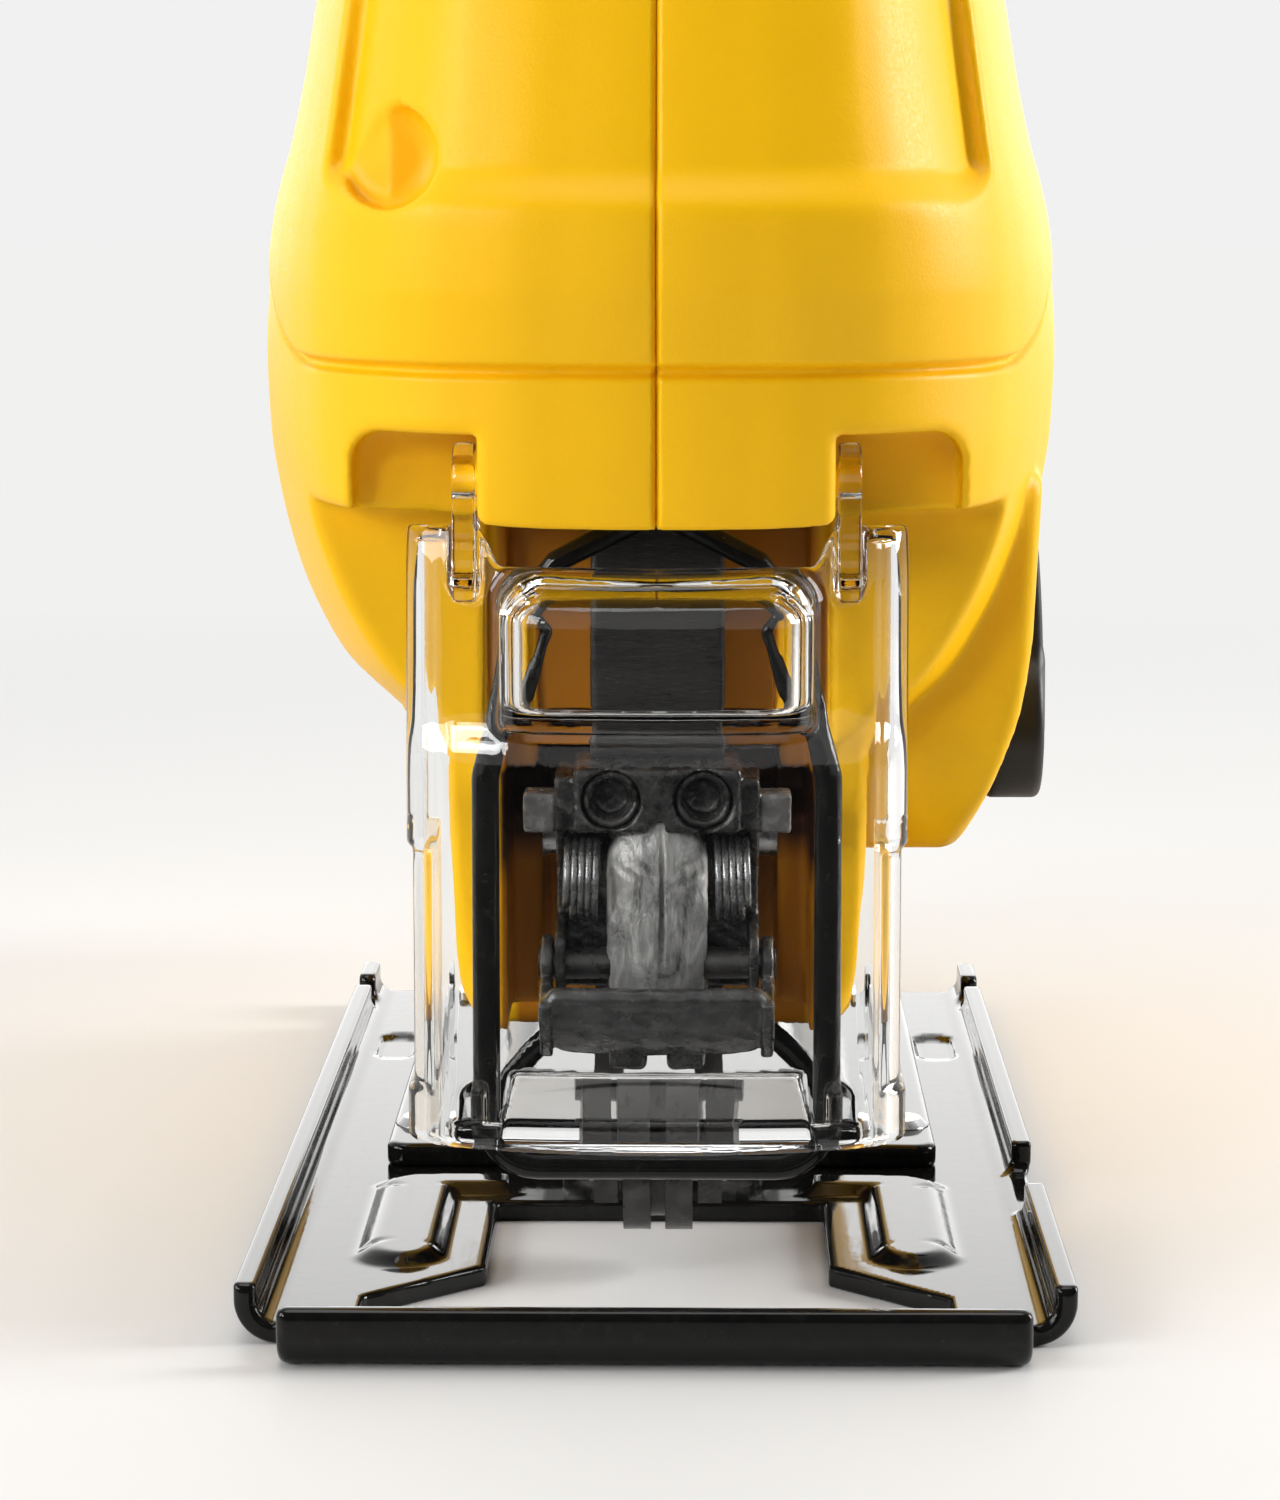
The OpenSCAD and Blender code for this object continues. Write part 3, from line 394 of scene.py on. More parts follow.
def cavities(ax, y, z, keep):
    """Everything that is empty inside the halves."""
    k = rmax(poly(y, z, [(-13, 83), (-15.6, 94), (-15, 100), (-11.5, 122), (10.5, 122), (10.5, 78.5),
                         (3.9, 78.5), (3.9, 83)]), np.maximum(ax - 24, keep), 0)
    parts = [
        rmax(rod(ax, z, 0, 94, 27.6), slab(y, 8.6, 31.5), 0),
        rmax(rod(ax, z, *MOTOR, 9), slab(y, 9.6, 24), 0),
        box(ax, y, z, -32.5, 32.5, 12, 31.5, 76, 108, 0),
        rmax(rod(ax, z, *MOTOR, 17), slab(y, 31.4, 46.1), 0),
        box(ax, y, z, -24, 24, 24, 44, 84, 98, 0),
        rmax(rod(ax, z, *MOTOR, 28), slab(y, 46, 149), 0),
        rmax(rod(ax, z, *MOTOR, 24), slab(y, 155.5, 167), 0),
        rmax(poly(y, z, HANDLE_HOLLOW), ax - 13.5, 0),
        box(ax, y, z, -14.1, 14.1, -30, 7.2, 47, 73.3, 0),
        box(ax, y, z, -14.4, 14.4, -5, 32, 42.5, 48.4, 0),
        box(ax, y, z, -14.2, 14.2, -5, 19, 10, 44, 0),
        box(ax, y, z, -11.4, 11.4, -5, 40, 10, 48.4, 0),
        box(ax, y, z, -11.4, 11.4, 7, 40, 10, 52, 0),
        rod(y, z, *SELECTOR, 5) + np.maximum(ax - 11.4, 0),
        rmax(rod(ax, z, 0, 0, 20.1), slab(y, 38, 116), 0),
        box(ax, y, z, -29.2, 29.2, 129.5, 140.5, 58.5, 69.5, 0),
        box(ax, y, z, -8.2, 8.2, 55, 90, 130, 158, 0),
        rmax(rod(y, z, 38, 175, 10.9), ax - 3.2, 0),
        rmax(rod(ax, z, 0, 134, 6.6), slab(y, 160, 180), 0),
        box(ax, y, z, -9.6, 9.6, -5, 3.8, 110, 116, 0),
        box(ax, y, z, -7.4, 7.4, -3.2, 3.2, 100, 142, 0),
        rmax(rod(ax, y, 0, 78, 4), slab(z, 10, 40), 0),
    ]
    for p in parts:
        k = np.minimum(k, p)
    return k


def pockets(ax, y, z):
    """Seats of the clear guard either side of the nose."""
    w = WIDE(z)
    up = rmax(rmax(ax - 27.6, z - 81.6, 3.0), 15.9 - ax, 0.4)
    up = rmax(up, y + 4.2, 0.8)
    up = rmax(up, 70 - z, 0)
    edge = (ax - (w - 4.9)) / np.sqrt(1 + WIDE.d(z) ** 2)
    low = rmax(edge, z - (74.1 + 0.05 * (ax - 26)), 0.9)
    low = rmax(low, 15.9 - ax, 0.4)
    low = rmax(low, y - 1.2, 0.8)
    low = rmax(low, 44 - z, 0)
    return np.minimum(up, low)


def vents(ax, y, z):
    k = None
    for i in range(5):
        b = box(ax, y, z, 20, 36, 157.5, 164.5, 50 + i * 6, 53 + i * 6, 1.2)
        k = b if k is None else np.minimum(k, b)
    for i in range(4):
        k = np.minimum(k, box(ax, y, z, 20, 42, 58 + i * 5, 60.6 + i * 5, 52, 76, 1.2))
    return k


def scoop(x, y, z):
    """Mouth of the first screw pocket, turned towards the front."""
    px = -(x + 23.95)
    s = rmax(np.hypot(px, z - 106) - 4.7, chord(px, z - 106, (1.3, 4.6), (5.0, 0.3)), 0.5)
    s = rmax(s, chord(px, z - 106, (4.7, -1.2), (3.1, -4.6)), 0.5)
    return rmax(s, y + 8.0 - 0.9 * np.maximum(px, 0), 2.2)


def chord(a, b, p, q):
    """Distance outside the straight line from p to q, the origin being inside."""
    n = math.hypot(q[0] - p[0], q[1] - p[1])
    h = ((a - p[0]) * (q[1] - p[1]) - (b - p[1]) * (q[0] - p[0])) / n
    inside = (-p[0] * (q[1] - p[1]) + p[1] * (q[0] - p[0])) / n
    return h if inside < 0 else -h


def housing(x, y, z, left):
    ax = np.abs(x)
    d = skin = housing_outer(ax, y, z)
    if left:
        d = rmin(d, pod(x, y, z), 0.6)
    # nose edge over the opening, a little higher at its ends
    d = cut(d, rmax(rmax(z - (73.0 + 0.7 * (ax / 16) ** 2), ax - 15.9, 0), y - 3.9, 0), 0.5)
    d = cut(d, pockets(ax, y, z), 0.9)
    keep = skin + 2.6 if left else np.maximum(skin + 2.6, 1.6 - scoop(x, y, z))
    d = cut(d, cavities(ax, y, z, keep), 0.25)
    d = cut(d, vents(ax, y, z), 0.5)
    # screw pockets, from the operator's right
    if not left:
        for sy, sz in SCREWS[1:]:
            d = cut(d, rmax(rod(y, z, sy, sz, 4.3), x + 12.4, 0.6), 0.5)
        d = cut(d, scoop(x, y, z), 0.3)
    else:
        d = cut(d, rmax(rod(y, z, *SELECTOR, 8.4), 32.3 - x, 0.3), 0.3)
        d = cut(d, rmax(rod(y, z, 100, 163, 4.6), 4 - x, 0.3), 0.3)
        for mark_z in (75.6, 70.4, 59.2, 55.4):
            mark = box(x, y, z, 34, 37.2, 21, 29, mark_z - 0.9, mark_z + 0.9, 0.8)
            d = np.minimum(d, rmax(mark, pod_skin(x, z) - 0.55, 0.3))
    # parting line
    gap = 0.01 + 0.31 * ramp((skin + 0.62) / 0.5)
    return rmax(d, gap - (x if left else -x), 0.1)


def pod_skin(x, z):
    """Section of the pod, seen from the front."""
    return hull2(x, z, [(17, 38.8), (28.2, 38.8), (33.3, 49), (35.3, 56), (36.3, 77), (17, 77)], 1.4)


def housing_half(name, left, node):
    k = 1.0
    xs = [(-0.5, 1.3, 0.2 * k), (1.3, 23, 0.65 * k), (23, 31, 0.42 * k), (31, 40.4, 0.55 * k)]
    gx = grid_axis(*xs)
    if not left:
        gx = -gx[::-1]
    gy = grid_axis((-24, 6, 0.5 * k), (6, 46, 0.85 * k), (46, 180, 1.3 * k))
    gz = grid_axis((10, 48, 0.9 * k), (48, 85.8, 0.6 * k), (85.8, 88.8, 0.27 * k), (88.8, 112, 0.55 * k),
                   (112, 130, 0.7 * k), (130, 189, 1.2 * k))
    return field_piece(name, lambda x, y, z: housing(x, y, z, left), gx, gy, gz, "housing",
                       [node])


shell_r = housing_half("shell_right", False, "right_housing")
shell_l = housing_half("shell_left", True, "left_housing")


# ---------------------------------------------------------------- clear guard
GUARD_Y = Curve([(10, -14.6), (50, -14.6), (52, -14.5), (55.5, -13.7), (60, -13.5), (67, -13.4), (70, -13.1),
                 (74, -12.4), (84, -12)])


def guard_skin(ax, y, z, inset):
    bow = GUARD_Y(z) + 0.0085 * np.minimum(ax, 20) ** 2
    o = rmax(ax - 23 + inset, bow + inset - y, 4.6 - min(inset, 1.5) * 0.6)
    b = rmax(ax - 14.2 + inset, -17.0 + 0.004 * ax ** 2 + inset - y, 3.5 - inset * 0.3)
    b = rmax(rmax(b, z - (69.2 - inset * 1.25), 3.2 - inset * 0.3), 54.8 + inset - z, 0.9)
    return rmin(o, b, 1.3)


def guard(x, y, z):
    ax = np.abs(x)
    o = guard_skin(ax, y, z, 0.0)
    # shallow finger recess low on each side
    recess = 0.55 * ramp((43.9 - z) / 1.0) * ramp((z - 20.6) / 1.0)
    o = o + recess * ramp((ax - 20.2) / 1.2) * ramp((y + 13.2) / 1.2)
    i = guard_skin(ax, y, z, 1.55)
    i = rmax(i, z - np.where(ax > 16.2, 71.5, 90), 0.2)
    sheet = cut(o, i, 0.45)
    # top edge: low between the arms, a concave sweep up to the shoulders
    top = 69.4 + 3.4 * ramp((ax - 13.9) / 2.4)
    sheet = rmax(sheet, z - np.minimum(top, 72.9), 0.5)
    sheet = rmax(sheet, 16 - z, 0.6)
    back = 3.5 - 8.9 * ramp((z - 44) / 2.0)
    sheet = rmax(sheet, (y - back) * 0.75, 0.5)
    # thick wedge-shaped lip along the lower front edge
    lip = hull2(y, z, [(-14.4, 16), (-8.6, 16), (-8.4, 18.0), (-11.2, 23), (-14.4, 23)], 0.35)
    lip = rmax(lip, ax - (13.9 - 0.22 * (z - 18)), 0.3)
    lip = np.maximum(lip, o + 0.3)
    low = rmax(rmax(hull2(y, z, [(-14.4, 16), (-10.2, 16), (-10.2, 18.1), (-14.4, 18.3)], 0.3), ax - 21, 0.4),
               o + 0.4, 0.2)
    web = rmax(hull2(y, z, [(-14, 16.4), (-10.4, 16.4), (-10.4, 21.4), (-11, 22.2), (-14, 22.2)], 0.5),
               slab(ax, 15.4, 20.6), 0.8)
    web = rmax(web, o + 0.4, 0.2)
    # hinge arms
    arm = np.minimum(rod(y, z, *GUARD_HINGE, 3.5),
                     hull2(y, z, [(-12.4, 66), (-5.6, 68.6), (-5.5, 77), (-12.5, 77)], 0.8))
    arm = rmax(arm, slab(ax, 16.3, 18.4), 0.45)
    d = rmin(sheet, lip, 0.35)
    d = rmin(d, low, 0.3)
    d = rmin(d, web, 0.3)
    d = rmin(d, arm, 0.6)
    return cut(d, rod(y, z, *GUARD_HINGE, 1.56), 0.15)


q = 1.0
guard_ob = field_piece("guard_shell", guard, grid_axis((-24, 24, 0.36 * q)),
                       grid_axis((-18, -3, 0.3 * q), (-3, 4.4, 0.6 * q)),
                       grid_axis((15, 24.5, 0.3 * q), (24.5, 43, 0.75 * q), (43, 46.5, 0.4 * q),
                                 (46.5, 53, 0.75 * q), (53, 57, 0.35 * q), (57, 65, 0.6 * q),
                                 (65, 82, 0.35 * q)), "guard", ["clear_guard"])


# ---------------------------------------------------------------- sole
def base(x, y, z):
    ax = np.abs(x)
    # pressed bead: a raised L beside the opening
    b = np.minimum(np.hypot(ax - 24.75, y - 2.75) - 4.75, box(ax, y, 0, 20, 29.5, 2.75, 28.75, -9, 9, 0))
    b = np.minimum(b, np.hypot(ax - 24.75, y - 28.65) - 4.75)
    b = np.minimum(b, box(ax, y, 0, 14, 24.75, 26, 33.4, -9, 9, 0))
    h = 1.05 * ramp(-b / (2.0 + 0.8 * ramp((ax - 23.5) / 3)))
    zz = z - h
    flat = np.maximum(rmax(slab(zz, 0, 2), ax - 34.2, 0.0), slab(y, -25.3, 131))
    side = rmax(ax - 38, -z, 4)
    side = cut(side, side + 2, 0.0)
    side = rmax(side, z - 5.6, 0.35)
    side = rmax(side, 33.8 - ax, 0)
    side = rmax(side, -21 - y, 0.7)
    lip = rmax(-29.1 - y, -z, 2.8)
    lip = rmax(lip, -(lip + 2.0), 0.0)
    lip = rmax(lip, z - 5.5, 0.8)
    lip = rmax(lip, y + 24.9, 0)
    lip = rmax(lip, ax - 33.4, 0.9)
    d = np.minimum(np.minimum(flat, side), lip)
    d = rmax(d, y - 131, 0.5)
    # corners between lip and flanges
    d = np.maximum(d, np.where(y < -21.1, ax - 33.4, -9.0))
    # blade opening
    mouth = poly(ax, y, [(-30, -25.5), (27, -25.5), (27, -11.5), (16.2, -1), (16.2, 23.5), (-30, 23.5)])
    d = cut(d, mouth, 0.3)
    # flange cut-outs
    gap = rmax(slab(y, 117, 122), 2.6 - z, 0.6)
    d = cut(d, np.maximum(gap, 34 - ax), 0.3)
    fence = rmax(slab(y, 18, 35), 2.4 - z, 1.2)
    d = cut(d, np.maximum(fence, 34 - x), 0.3)
    for hy in (48, 116):
        d = cut(d, np.hypot(ax - 25, y - hy) - 2.05, 0.1)
    return cut(d, rmax(np.hypot(ax - 31.5, np.maximum(np.abs(y - 98) - 4, 0)) - 2.2, 1.5 - z, 0), 0.35)


base_ob = field_piece("sole_plate", base,
                      grid_axis((-39, -27, 0.36 * q), (-27, -14, 0.5 * q), (-14, 14, 1.4 * q),
                                (14, 27, 0.5 * q), (27, 39, 0.36 * q)),
                      grid_axis((-30, -20, 0.36 * q), (-20, 38, 0.55 * q), (38, 128, 1.5 * q),
                                (128, 132, 0.5 * q)), grid_axis((-0.6, 6.2, 0.34)), "base",
                      ["base_plate"])


def bracket(x, y, z):
    ax = np.abs(x)
    sheet = rmax(rmax(ax - 28.5, slab(y, 38, 124), 2.0), slab(z, 2, 4.4), 0.5)
    r = rod(x, z, 0, 0, 0)
    arch = rmax(rmax(r - 19.9, slab(y, 44, 112), 0.4), 1.5 - z, 0)
    d = rmin(sheet, arch, 1.2)
    d = cut(d, np.maximum(rmax(r - 17.5, -z, 0), slab(y, 43.9, 112.1)), 0.4)
    d = cut(d, rmax(box(x, y, 0, -14.5, 14.5, 74.7, 81.3, -9, 9, 3.2), 8 - z, 0), 0.3)
    d = cut(d, box(x, y, z, -10, 10, 30, 43, -1, 8, 1.2), 0.3)
    for hy in (48, 116):
        d = cut(d, np.hypot(ax - 25, y - hy) - 2.05, 0.1)
    return d


bracket_ob = field_piece("tilt_bracket", bracket, grid_axis((-29.2, 29.2, 0.6 * q)),
                         grid_axis((37, 46, 0.5 * q), (46, 123, 1.2 * q), (123, 125, 0.5 * q)),
                         grid_axis((1.4, 5.2, 0.4), (5.2, 21, 0.6 * q)), "base",
                         ["base_bracket"])


# ---------------------------------------------------------------- wire guard
def tube(name, path, radius, closed, body, replaces, sides=20, flatten=1.0):
    p = np.asarray(path, float)
    n = len(p)
    t = np.roll(p, -1, 0) - np.roll(p, 1, 0)
    if not closed:
        t[0], t[-1] = p[1] - p[0], p[-1] - p[-2]
    t /= np.linalg.norm(t, axis=1)[:, None]
    ref = np.array([0.0, 1.0, 0.0]) if abs(t[:, 1]).max() < 0.9 else np.array([1.0, 0.0, 0.0])
    a = np.cross(t, ref)
    a /= np.linalg.norm(a, axis=1)[:, None]
    b = np.cross(t, a)
    ang = np.arange(sides) * 2 * math.pi / sides
    rad = np.broadcast_to(np.asarray(radius, float), n)[:, None, None]
    v = (p[:, None] + rad * (np.cos(ang)[None, :, None] * a[:, None] * flatten + np.sin(ang)[None, :, None]
                             * b[:, None])).reshape(-1, 3)
    f = []
    for i in range(n if closed else n - 1):
        j = (i + 1) % n
        for k in range(sides):
            m = (k + 1) % sides
            f.append((i * sides + k, i * sides + m, j * sides + m, j * sides + k))
    if not closed:
        f.append(tuple(range(sides))[::-1])
        f.append(tuple((n - 1) * sides + k for k in range(sides)))
    ob = add_mesh(name, v, f)
    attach(ob, body)
    if replaces:
        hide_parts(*replaces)
    return ob


def bent(corners, n=7):
    """Closed path in X and Z with an arc at every corner."""
    out = []
    for i in range(len(corners)):
        p, c, s = (np.array(corners[j % len(corners)][:2], float) for j in (i - 1, i, i + 1))
        r = corners[i][2]
        a, b = (p - c) / np.linalg.norm(p - c), (s - c) / np.linalg.norm(s - c)
        half = math.acos(np.clip(a @ b, -1, 1)) / 2
        mid = (a + b) / np.linalg.norm(a + b)
        o = c + mid * r / math.sin(half)
        u, w = c + a * r / math.tan(half) - o, c + b * r / math.tan(half) - o
        turn = math.atan2(u[0] * w[1] - u[1] * w[0], u @ w)
        for k in range(n + 1):
            g = turn * k / n
            out.append(o + np.array([u[0] * math.cos(g) - u[1] * math.sin(g),
                                     u[0] * math.sin(g) + u[1] * math.cos(g)]))
    return out


half = [(0, 74.4, 1.2), (9.2, 69.6, 1.2), (12.2, 66.2, 0.9), (10.2, 63.4, 0.5), (13.9, 56.6, 3), (15.5, 50, 4),
        (15.5, 13.6, 4.5)]
loop = half + [(-a, b, r) for a, b, r in half[:0:-1]]
wire_path = [(a, -8.6, b) for a, b in bent(loop)]
wire_r = [1.25 - 0.4 * float(ramp((b - 54) / 5)) + 0.3 * float(ramp((b - 68) / 3)) for a, _, b in wire_path]
wire_ob = tube("wire_guard_loop", wire_path, wire_r, True, "housing", ["wire_guard"])


# ---------------------------------------------------------------- plunger and clamp
def plunger_bar(x, y, z):
    return box(x, y, z, -6.2, 6.2, -2, 2, 50.5, 118, 0.45)


plunger_ob = field_piece("plunger_bar", plunger_bar, grid_axis((-6.6, 6.6, 0.4)), grid_axis((-2.4, 2.4, 0.4)),
                         grid_axis((50, 51.5, 0.3), (51.5, 117, 3), (117, 118.5, 0.3)), "plunger_unit",
                         ["plunger"])


def wob(x, y, z, s, k):
    """Small smooth unevenness."""
    swirl = np.sin(x * s + 1.3 * np.sin(z * s * 0.7)) * np.cos(z * s * 1.1 + 0.8 * np.sin(y * s))
    return k * (swirl + 0.5 * np.sin(y * s * 1.7 + z * s * 0.6))


def clamp(x, y, z):
    ax = np.abs(x)
    d = box(ax, y, z, -7.6, 7.6, -7.5, 1.8, 44.6, 50.5, 0.5)
    d = rmin(d, box(ax, y, z, -4.6, 4.6, -1.6, 1.8, 27, 45, 0.3), 0.4)
    d = rmin(d, box(ax, y, z, 0.9, 4.4, -6.4, 1.8, 22.2, 28, 0.7), 0.3)
    d = rmin(d, box(ax, y, z, 4.2, 9.3, -0.4, 1.8, 29, 44.7, 0.3), 0.3)
    cheek = hull2(y, z, [(-6.3, 29), (1.8, 29), (1.8, 36), (-3, 36), (-6.3, 34.6)], 0.6)
    cheek = np.minimum(cheek, hull2(y, z,
                                    [(-3, 35), (1.8, 35), (1.8, 49.6), (-6.6, 49.6), (-6.6, 44.4), (-3, 42)],
                                    0.3))
    d = rmin(d, rmax(cheek, slab(ax, 8.4, 9.3), 0.25), 0.2)
    d = rmin(d, box(ax, y, z, 7.4, 9.3, -6.6, 1.8, 44.7, 49.6, 0.4), 0.3)
    d = rmin(d, box(ax, y, z, 9.0, 12.2, -6, -2.2, 44.4, 48.1, 0.35), 0.3)
    d = d + wob(x, y, z, 1.9, 0.03)
    s = np.hypot(ax - GRUB[0], z - GRUB[1])
    d = cut(d, rmax(s - 2.7, y + 0.4, 0.2), 0.35)
    d = cut(d, rod(y, z, *CLAMP_PIN, 1.5), 0.1)
    return cut(d, box(x, y, z, -0.75, 0.75, -9, 0.6, 20, 45.6, 0.1), 0.15)


clamp_ob = field_piece("clamp_block", clamp, grid_axis((-12.8, 12.8, 0.26 * q)), grid_axis((-8, 2.4, 0.3 * q)),
                       grid_axis((21.6, 51, 0.32 * q)), "plunger_unit", ["clamp_body"])


def screws_in_clamp(x, y, z):
    ax = np.abs(x)
    s = np.hypot(ax - GRUB[0], z - GRUB[1])
    d = rmax(s - 2.6, slab(y, -6.9, -0.5), 0.5)
    d = cut(d, rmax(s - 1.6 - 0.25 * np.maximum(-5.2 - y, 0), y + 4.6, 0.4), 0.4)
    return d + wob(x, y, z, 2.6, 0.05)


clamp_screw_ob = field_piece("clamp_grub_screws", screws_in_clamp, grid_axis((-7.2, 7.2, 0.22 * q)),
                             grid_axis((-7.4, -0.2, 0.26 * q)), grid_axis((44.6, 50.6, 0.22 * q)),
                             "plunger_unit", ["clamp_screws"])


def holder(x, y, z):
    ax = np.abs(x)
    d = hull2(ax, z, [(-6, 28.2), (4.2, 28.2), (4.6, 31), (4.6, 42.2), (3.5, 44.3), (1.5, 45), (-6, 45)], 0.3)
    d = rmin(d, box(x, y, z, -1.0, 1.1, -6.4, -2, 43, 47.6, 0.8), 1.4)
    d = rmax(d, slab(y, -7.1 + 0.075 * ax ** 2 + 0.013 * (z - 38) ** 2, -1.65), 0.5)
    # smeared grease on the front
    g = np.hypot((x + 2.1) / 2.6, (z - 41) / 3.6)
    g2 = np.hypot((x - 3.2) / 1.5, (z - 40.5) / 3.4)
    smear = 0.16 * ramp(1.25 - g) * (1 + 0.5 * np.sin(3.1 * (x + z) + np.sin(2 * z)))
    smear = smear + 0.14 * ramp(1.3 - g2) * (1 + 0.5 * np.sin(4.2 * z - 2.1 * x))
    d = d - smear * ramp((-4.6 - y) / 1.0) + wob(x, y, z, 3.1, 0.025)
    d = cut(d, box(x, y, z, 0.25, 0.65, -8, -6.5, 30, 48, 0.1), 0.12)
    return cut(d, rod(y, z, *CLAMP_PIN, 1.55), 0.1)


holder_ob = field_piece("blade_seat", holder, grid_axis((-5.2, 5.2, 0.2 * q)), grid_axis((-8, -1.3, 0.24 * q)),
                        grid_axis((27.6, 47.8, 0.22 * q)), "plunger_unit", ["blade_holder"])


def lever(x, y, z):
    ax = np.abs(x)
    r = rod(y, z, *CLAMP_PIN, 0)
    a = np.degrees(np.arctan2(z - 31.8, y + 3.5)) % 360
    band = rmax(slab(r + 0.006 * ax ** 2, 5.9, 8.7), slab(a, 187, 262) * r * math.pi / 180, 1.25)
    # rounded lower corners seen from the front
    front = hull2(ax, z, [(-12, 22.6), (7.4, 22.6), (9.2, 23.3), (10.3, 25.2), (10.7, 28.6), (10.3, 30.1),
                          (9.0, 31), (-12, 31)], 0.6)
    band = rmax(band, front, 1.2)
    arm = rmax(np.minimum(rod(y, z, *CLAMP_PIN, 2.6),
                          np.maximum(slab(r, 1, 8.7), slab(a, 196, 262) * r * math.pi / 180)),
               slab(ax, 9.55, 10.65), 0.3)
    rim = rmax(np.hypot(y + 11.3 - 0.009 * ax ** 2, z - 30.0) - 0.9, ax - 9.8, 0.8)
    d = rmin(rmin(band, rim, 0.5), arm, 0.3) + wob(x, y, z, 1.7, 0.05)
    d = cut(d, box(x, y, z, -4.8, 4.8, -6.7, 2, 20, 28, 0.3), 0.2)
    return cut(d, rod(y, z, *CLAMP_PIN, 1.56), 0.1)


lever_ob = field_piece("clamp_release_lever", lever, grid_axis((-11, 11, 0.26 * q)),
                       grid_axis((-12.8, -0.4, 0.28 * q)), grid_axis((22, 35, 0.26 * q)), "clamp_lever",
                       ["clamp_lever"])

# coil springs either side of the blade seat
spring_v, spring_f = [], []
for side in (-1, 1):
    turns, n, sides_ = 4.6, 150, 10
    tt = np.linspace(0, 1, n)
    px = side * (5.3 + 3.0 * tt)
    an = 2 * math.pi * turns * tt
    path = np.stack([px, -3.6 + 3.5 * np.cos(an), 39.8 + 3.6 * np.sin(an)], 1)
    tg = np.gradient(path, axis=0)
    tg /= np.linalg.norm(tg, axis=1)[:, None]
    na = np.cross(tg, [1.0, 0, 0])
    na /= np.linalg.norm(na, axis=1)[:, None]
    nb = np.cross(tg, na)
    ang = np.arange(sides_) * 2 * math.pi / sides_
    ring = path[:, None] + 0.34 * (np.cos(ang)[None, :, None] * na[:, None] + np.sin(ang)[None, :, None]
                                   * nb[:, None])
    o = sum(len(a) for a in spring_v)
    spring_v.append(ring.reshape(-1, 3))
    for i in range(n - 1):
        for k in range(sides_):
            m = (k + 1) % sides_
            spring_f.append((o + i * sides_ + k, o + i * sides_ + m, o + (i + 1) * sides_ + m,
                             o + (i + 1) * sides_ + k))
    spring_f.append(tuple(o + k for k in range(sides_))[::-1])
    spring_f.append(tuple(o + (n - 1) * sides_ + k for k in range(sides_)))
spring_ob = add_mesh("clamp_coils", np.concatenate(spring_v), spring_f)
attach(spring_ob, "plunger_unit")
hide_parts("clamp_springs")


# ---------------------------------------------------------------- selector lever
def selector(x, y, z):
    hub = rmax(rod(y, z, *SELECTOR, 8), slab(x, 32.6, 38.2), 0.8)
    arm = hull2(y, z, [(30.4, 47), (39.6, 47), (39.2, 68.7), (30.8, 68.7)], 2.4)
    # the outer face bellies out a little and falls away at the top
    out = Curve([(40, 38.2), (50, 38.3), (58, 38.2), (64, 37.9), (70, 37.4)])
    arm = rmax(arm, x - out(z), 0.8)
    arm = rmax(arm, 36.4 - x, 0.4)
    d = rmin(hub, arm, 0.8)
    for gz_ in (58, 60.4, 62.8, 65.2):
        d = cut(d, rmax(rmax(slab(z, gz_ - 0.45, gz_ + 0.45), slab(y, 31.8, 38.2), 0.3), 37.55 - x, 0.2), 0.25)
    return d


selector_ob = field_piece("selector_knob", selector, grid_axis((32.2, 38.8, 0.3 * q)),
                          grid_axis((26.5, 43.5, 0.4 * q)), grid_axis((41, 69.4, 0.4 * q)), "selector",
                          ["selector_lever"])


# ---------------------------------------------------------------- materials
def tree(name):
    m = bpy.data.materials.new(name)
    m.use_nodes = True
    nt = m.node_tree
    return m, nt, nt.nodes["Principled BSDF"]


def noise(nt, scale, detail=3.0, rough=0.5, stretch=None, distortion=0.0):
    """Noise in the object's own metres."""
    tc = nt.nodes.new("ShaderNodeTexCoord")
    out = tc.outputs["Object"]
    if stretch:
        mp = nt.nodes.new("ShaderNodeMapping")
        mp.inputs["Scale"].default_value = stretch
        nt.links.new(out, mp.inputs["Vector"])
        out = mp.outputs["Vector"]
    n = nt.nodes.new("ShaderNodeTexNoise")
    n.inputs["Scale"].default_value = scale
    n.inputs["Detail"].default_value = detail
    n.inputs["Roughness"].default_value = rough
    n.inputs["Distortion"].default_value = distortion
    nt.links.new(out, n.inputs["Vector"])
    return n.outputs["Fac"]


def ramp_node(nt, fac, stops):
    r = nt.nodes.new("ShaderNodeValToRGB")
    els = r.color_ramp.elements
    while len(els) < len(stops):
        els.new(0.5)
    for e, (p, c) in zip(els, stops):
        e.position = p
        e.color = (*c, 1) if len(c) == 3 else c
    nt.links.new(fac, r.inputs["Fac"])
    return r.outputs["Color"]


def calc(nt, operation, a, b=None):
    n = nt.nodes.new("ShaderNodeMath")
    n.operation = operation
    nt.links.new(a, n.inputs[0])
    if b is not None:
        nt.links.new(b, n.inputs[1])
    return n.outputs[0]


def place(nt):
    """The object's own coordinates, split."""
    tc = nt.nodes.new("ShaderNodeTexCoord")
    sp = nt.nodes.new("ShaderNodeSeparateXYZ")
    nt.links.new(tc.outputs["Object"], sp.inputs[0])
    return sp.outputs


def blend_colour(nt, fac, a, b):
    mix = nt.nodes.new("ShaderNodeMix")
    mix.data_type = "RGBA"
    for key, out in (("Factor", fac), ("A", a), ("B", b)):
        nt.links.new(out, mix.inputs[key])
    return mix.outputs["Result"]


def mix_shader(nt, fac, a, b):
    mx = nt.nodes.new("ShaderNodeMixShader")
    for key, out in (("Fac", fac), (1, a), (2, b)):
        nt.links.new(out, mx.inputs[key])
    return mx.outputs[0]


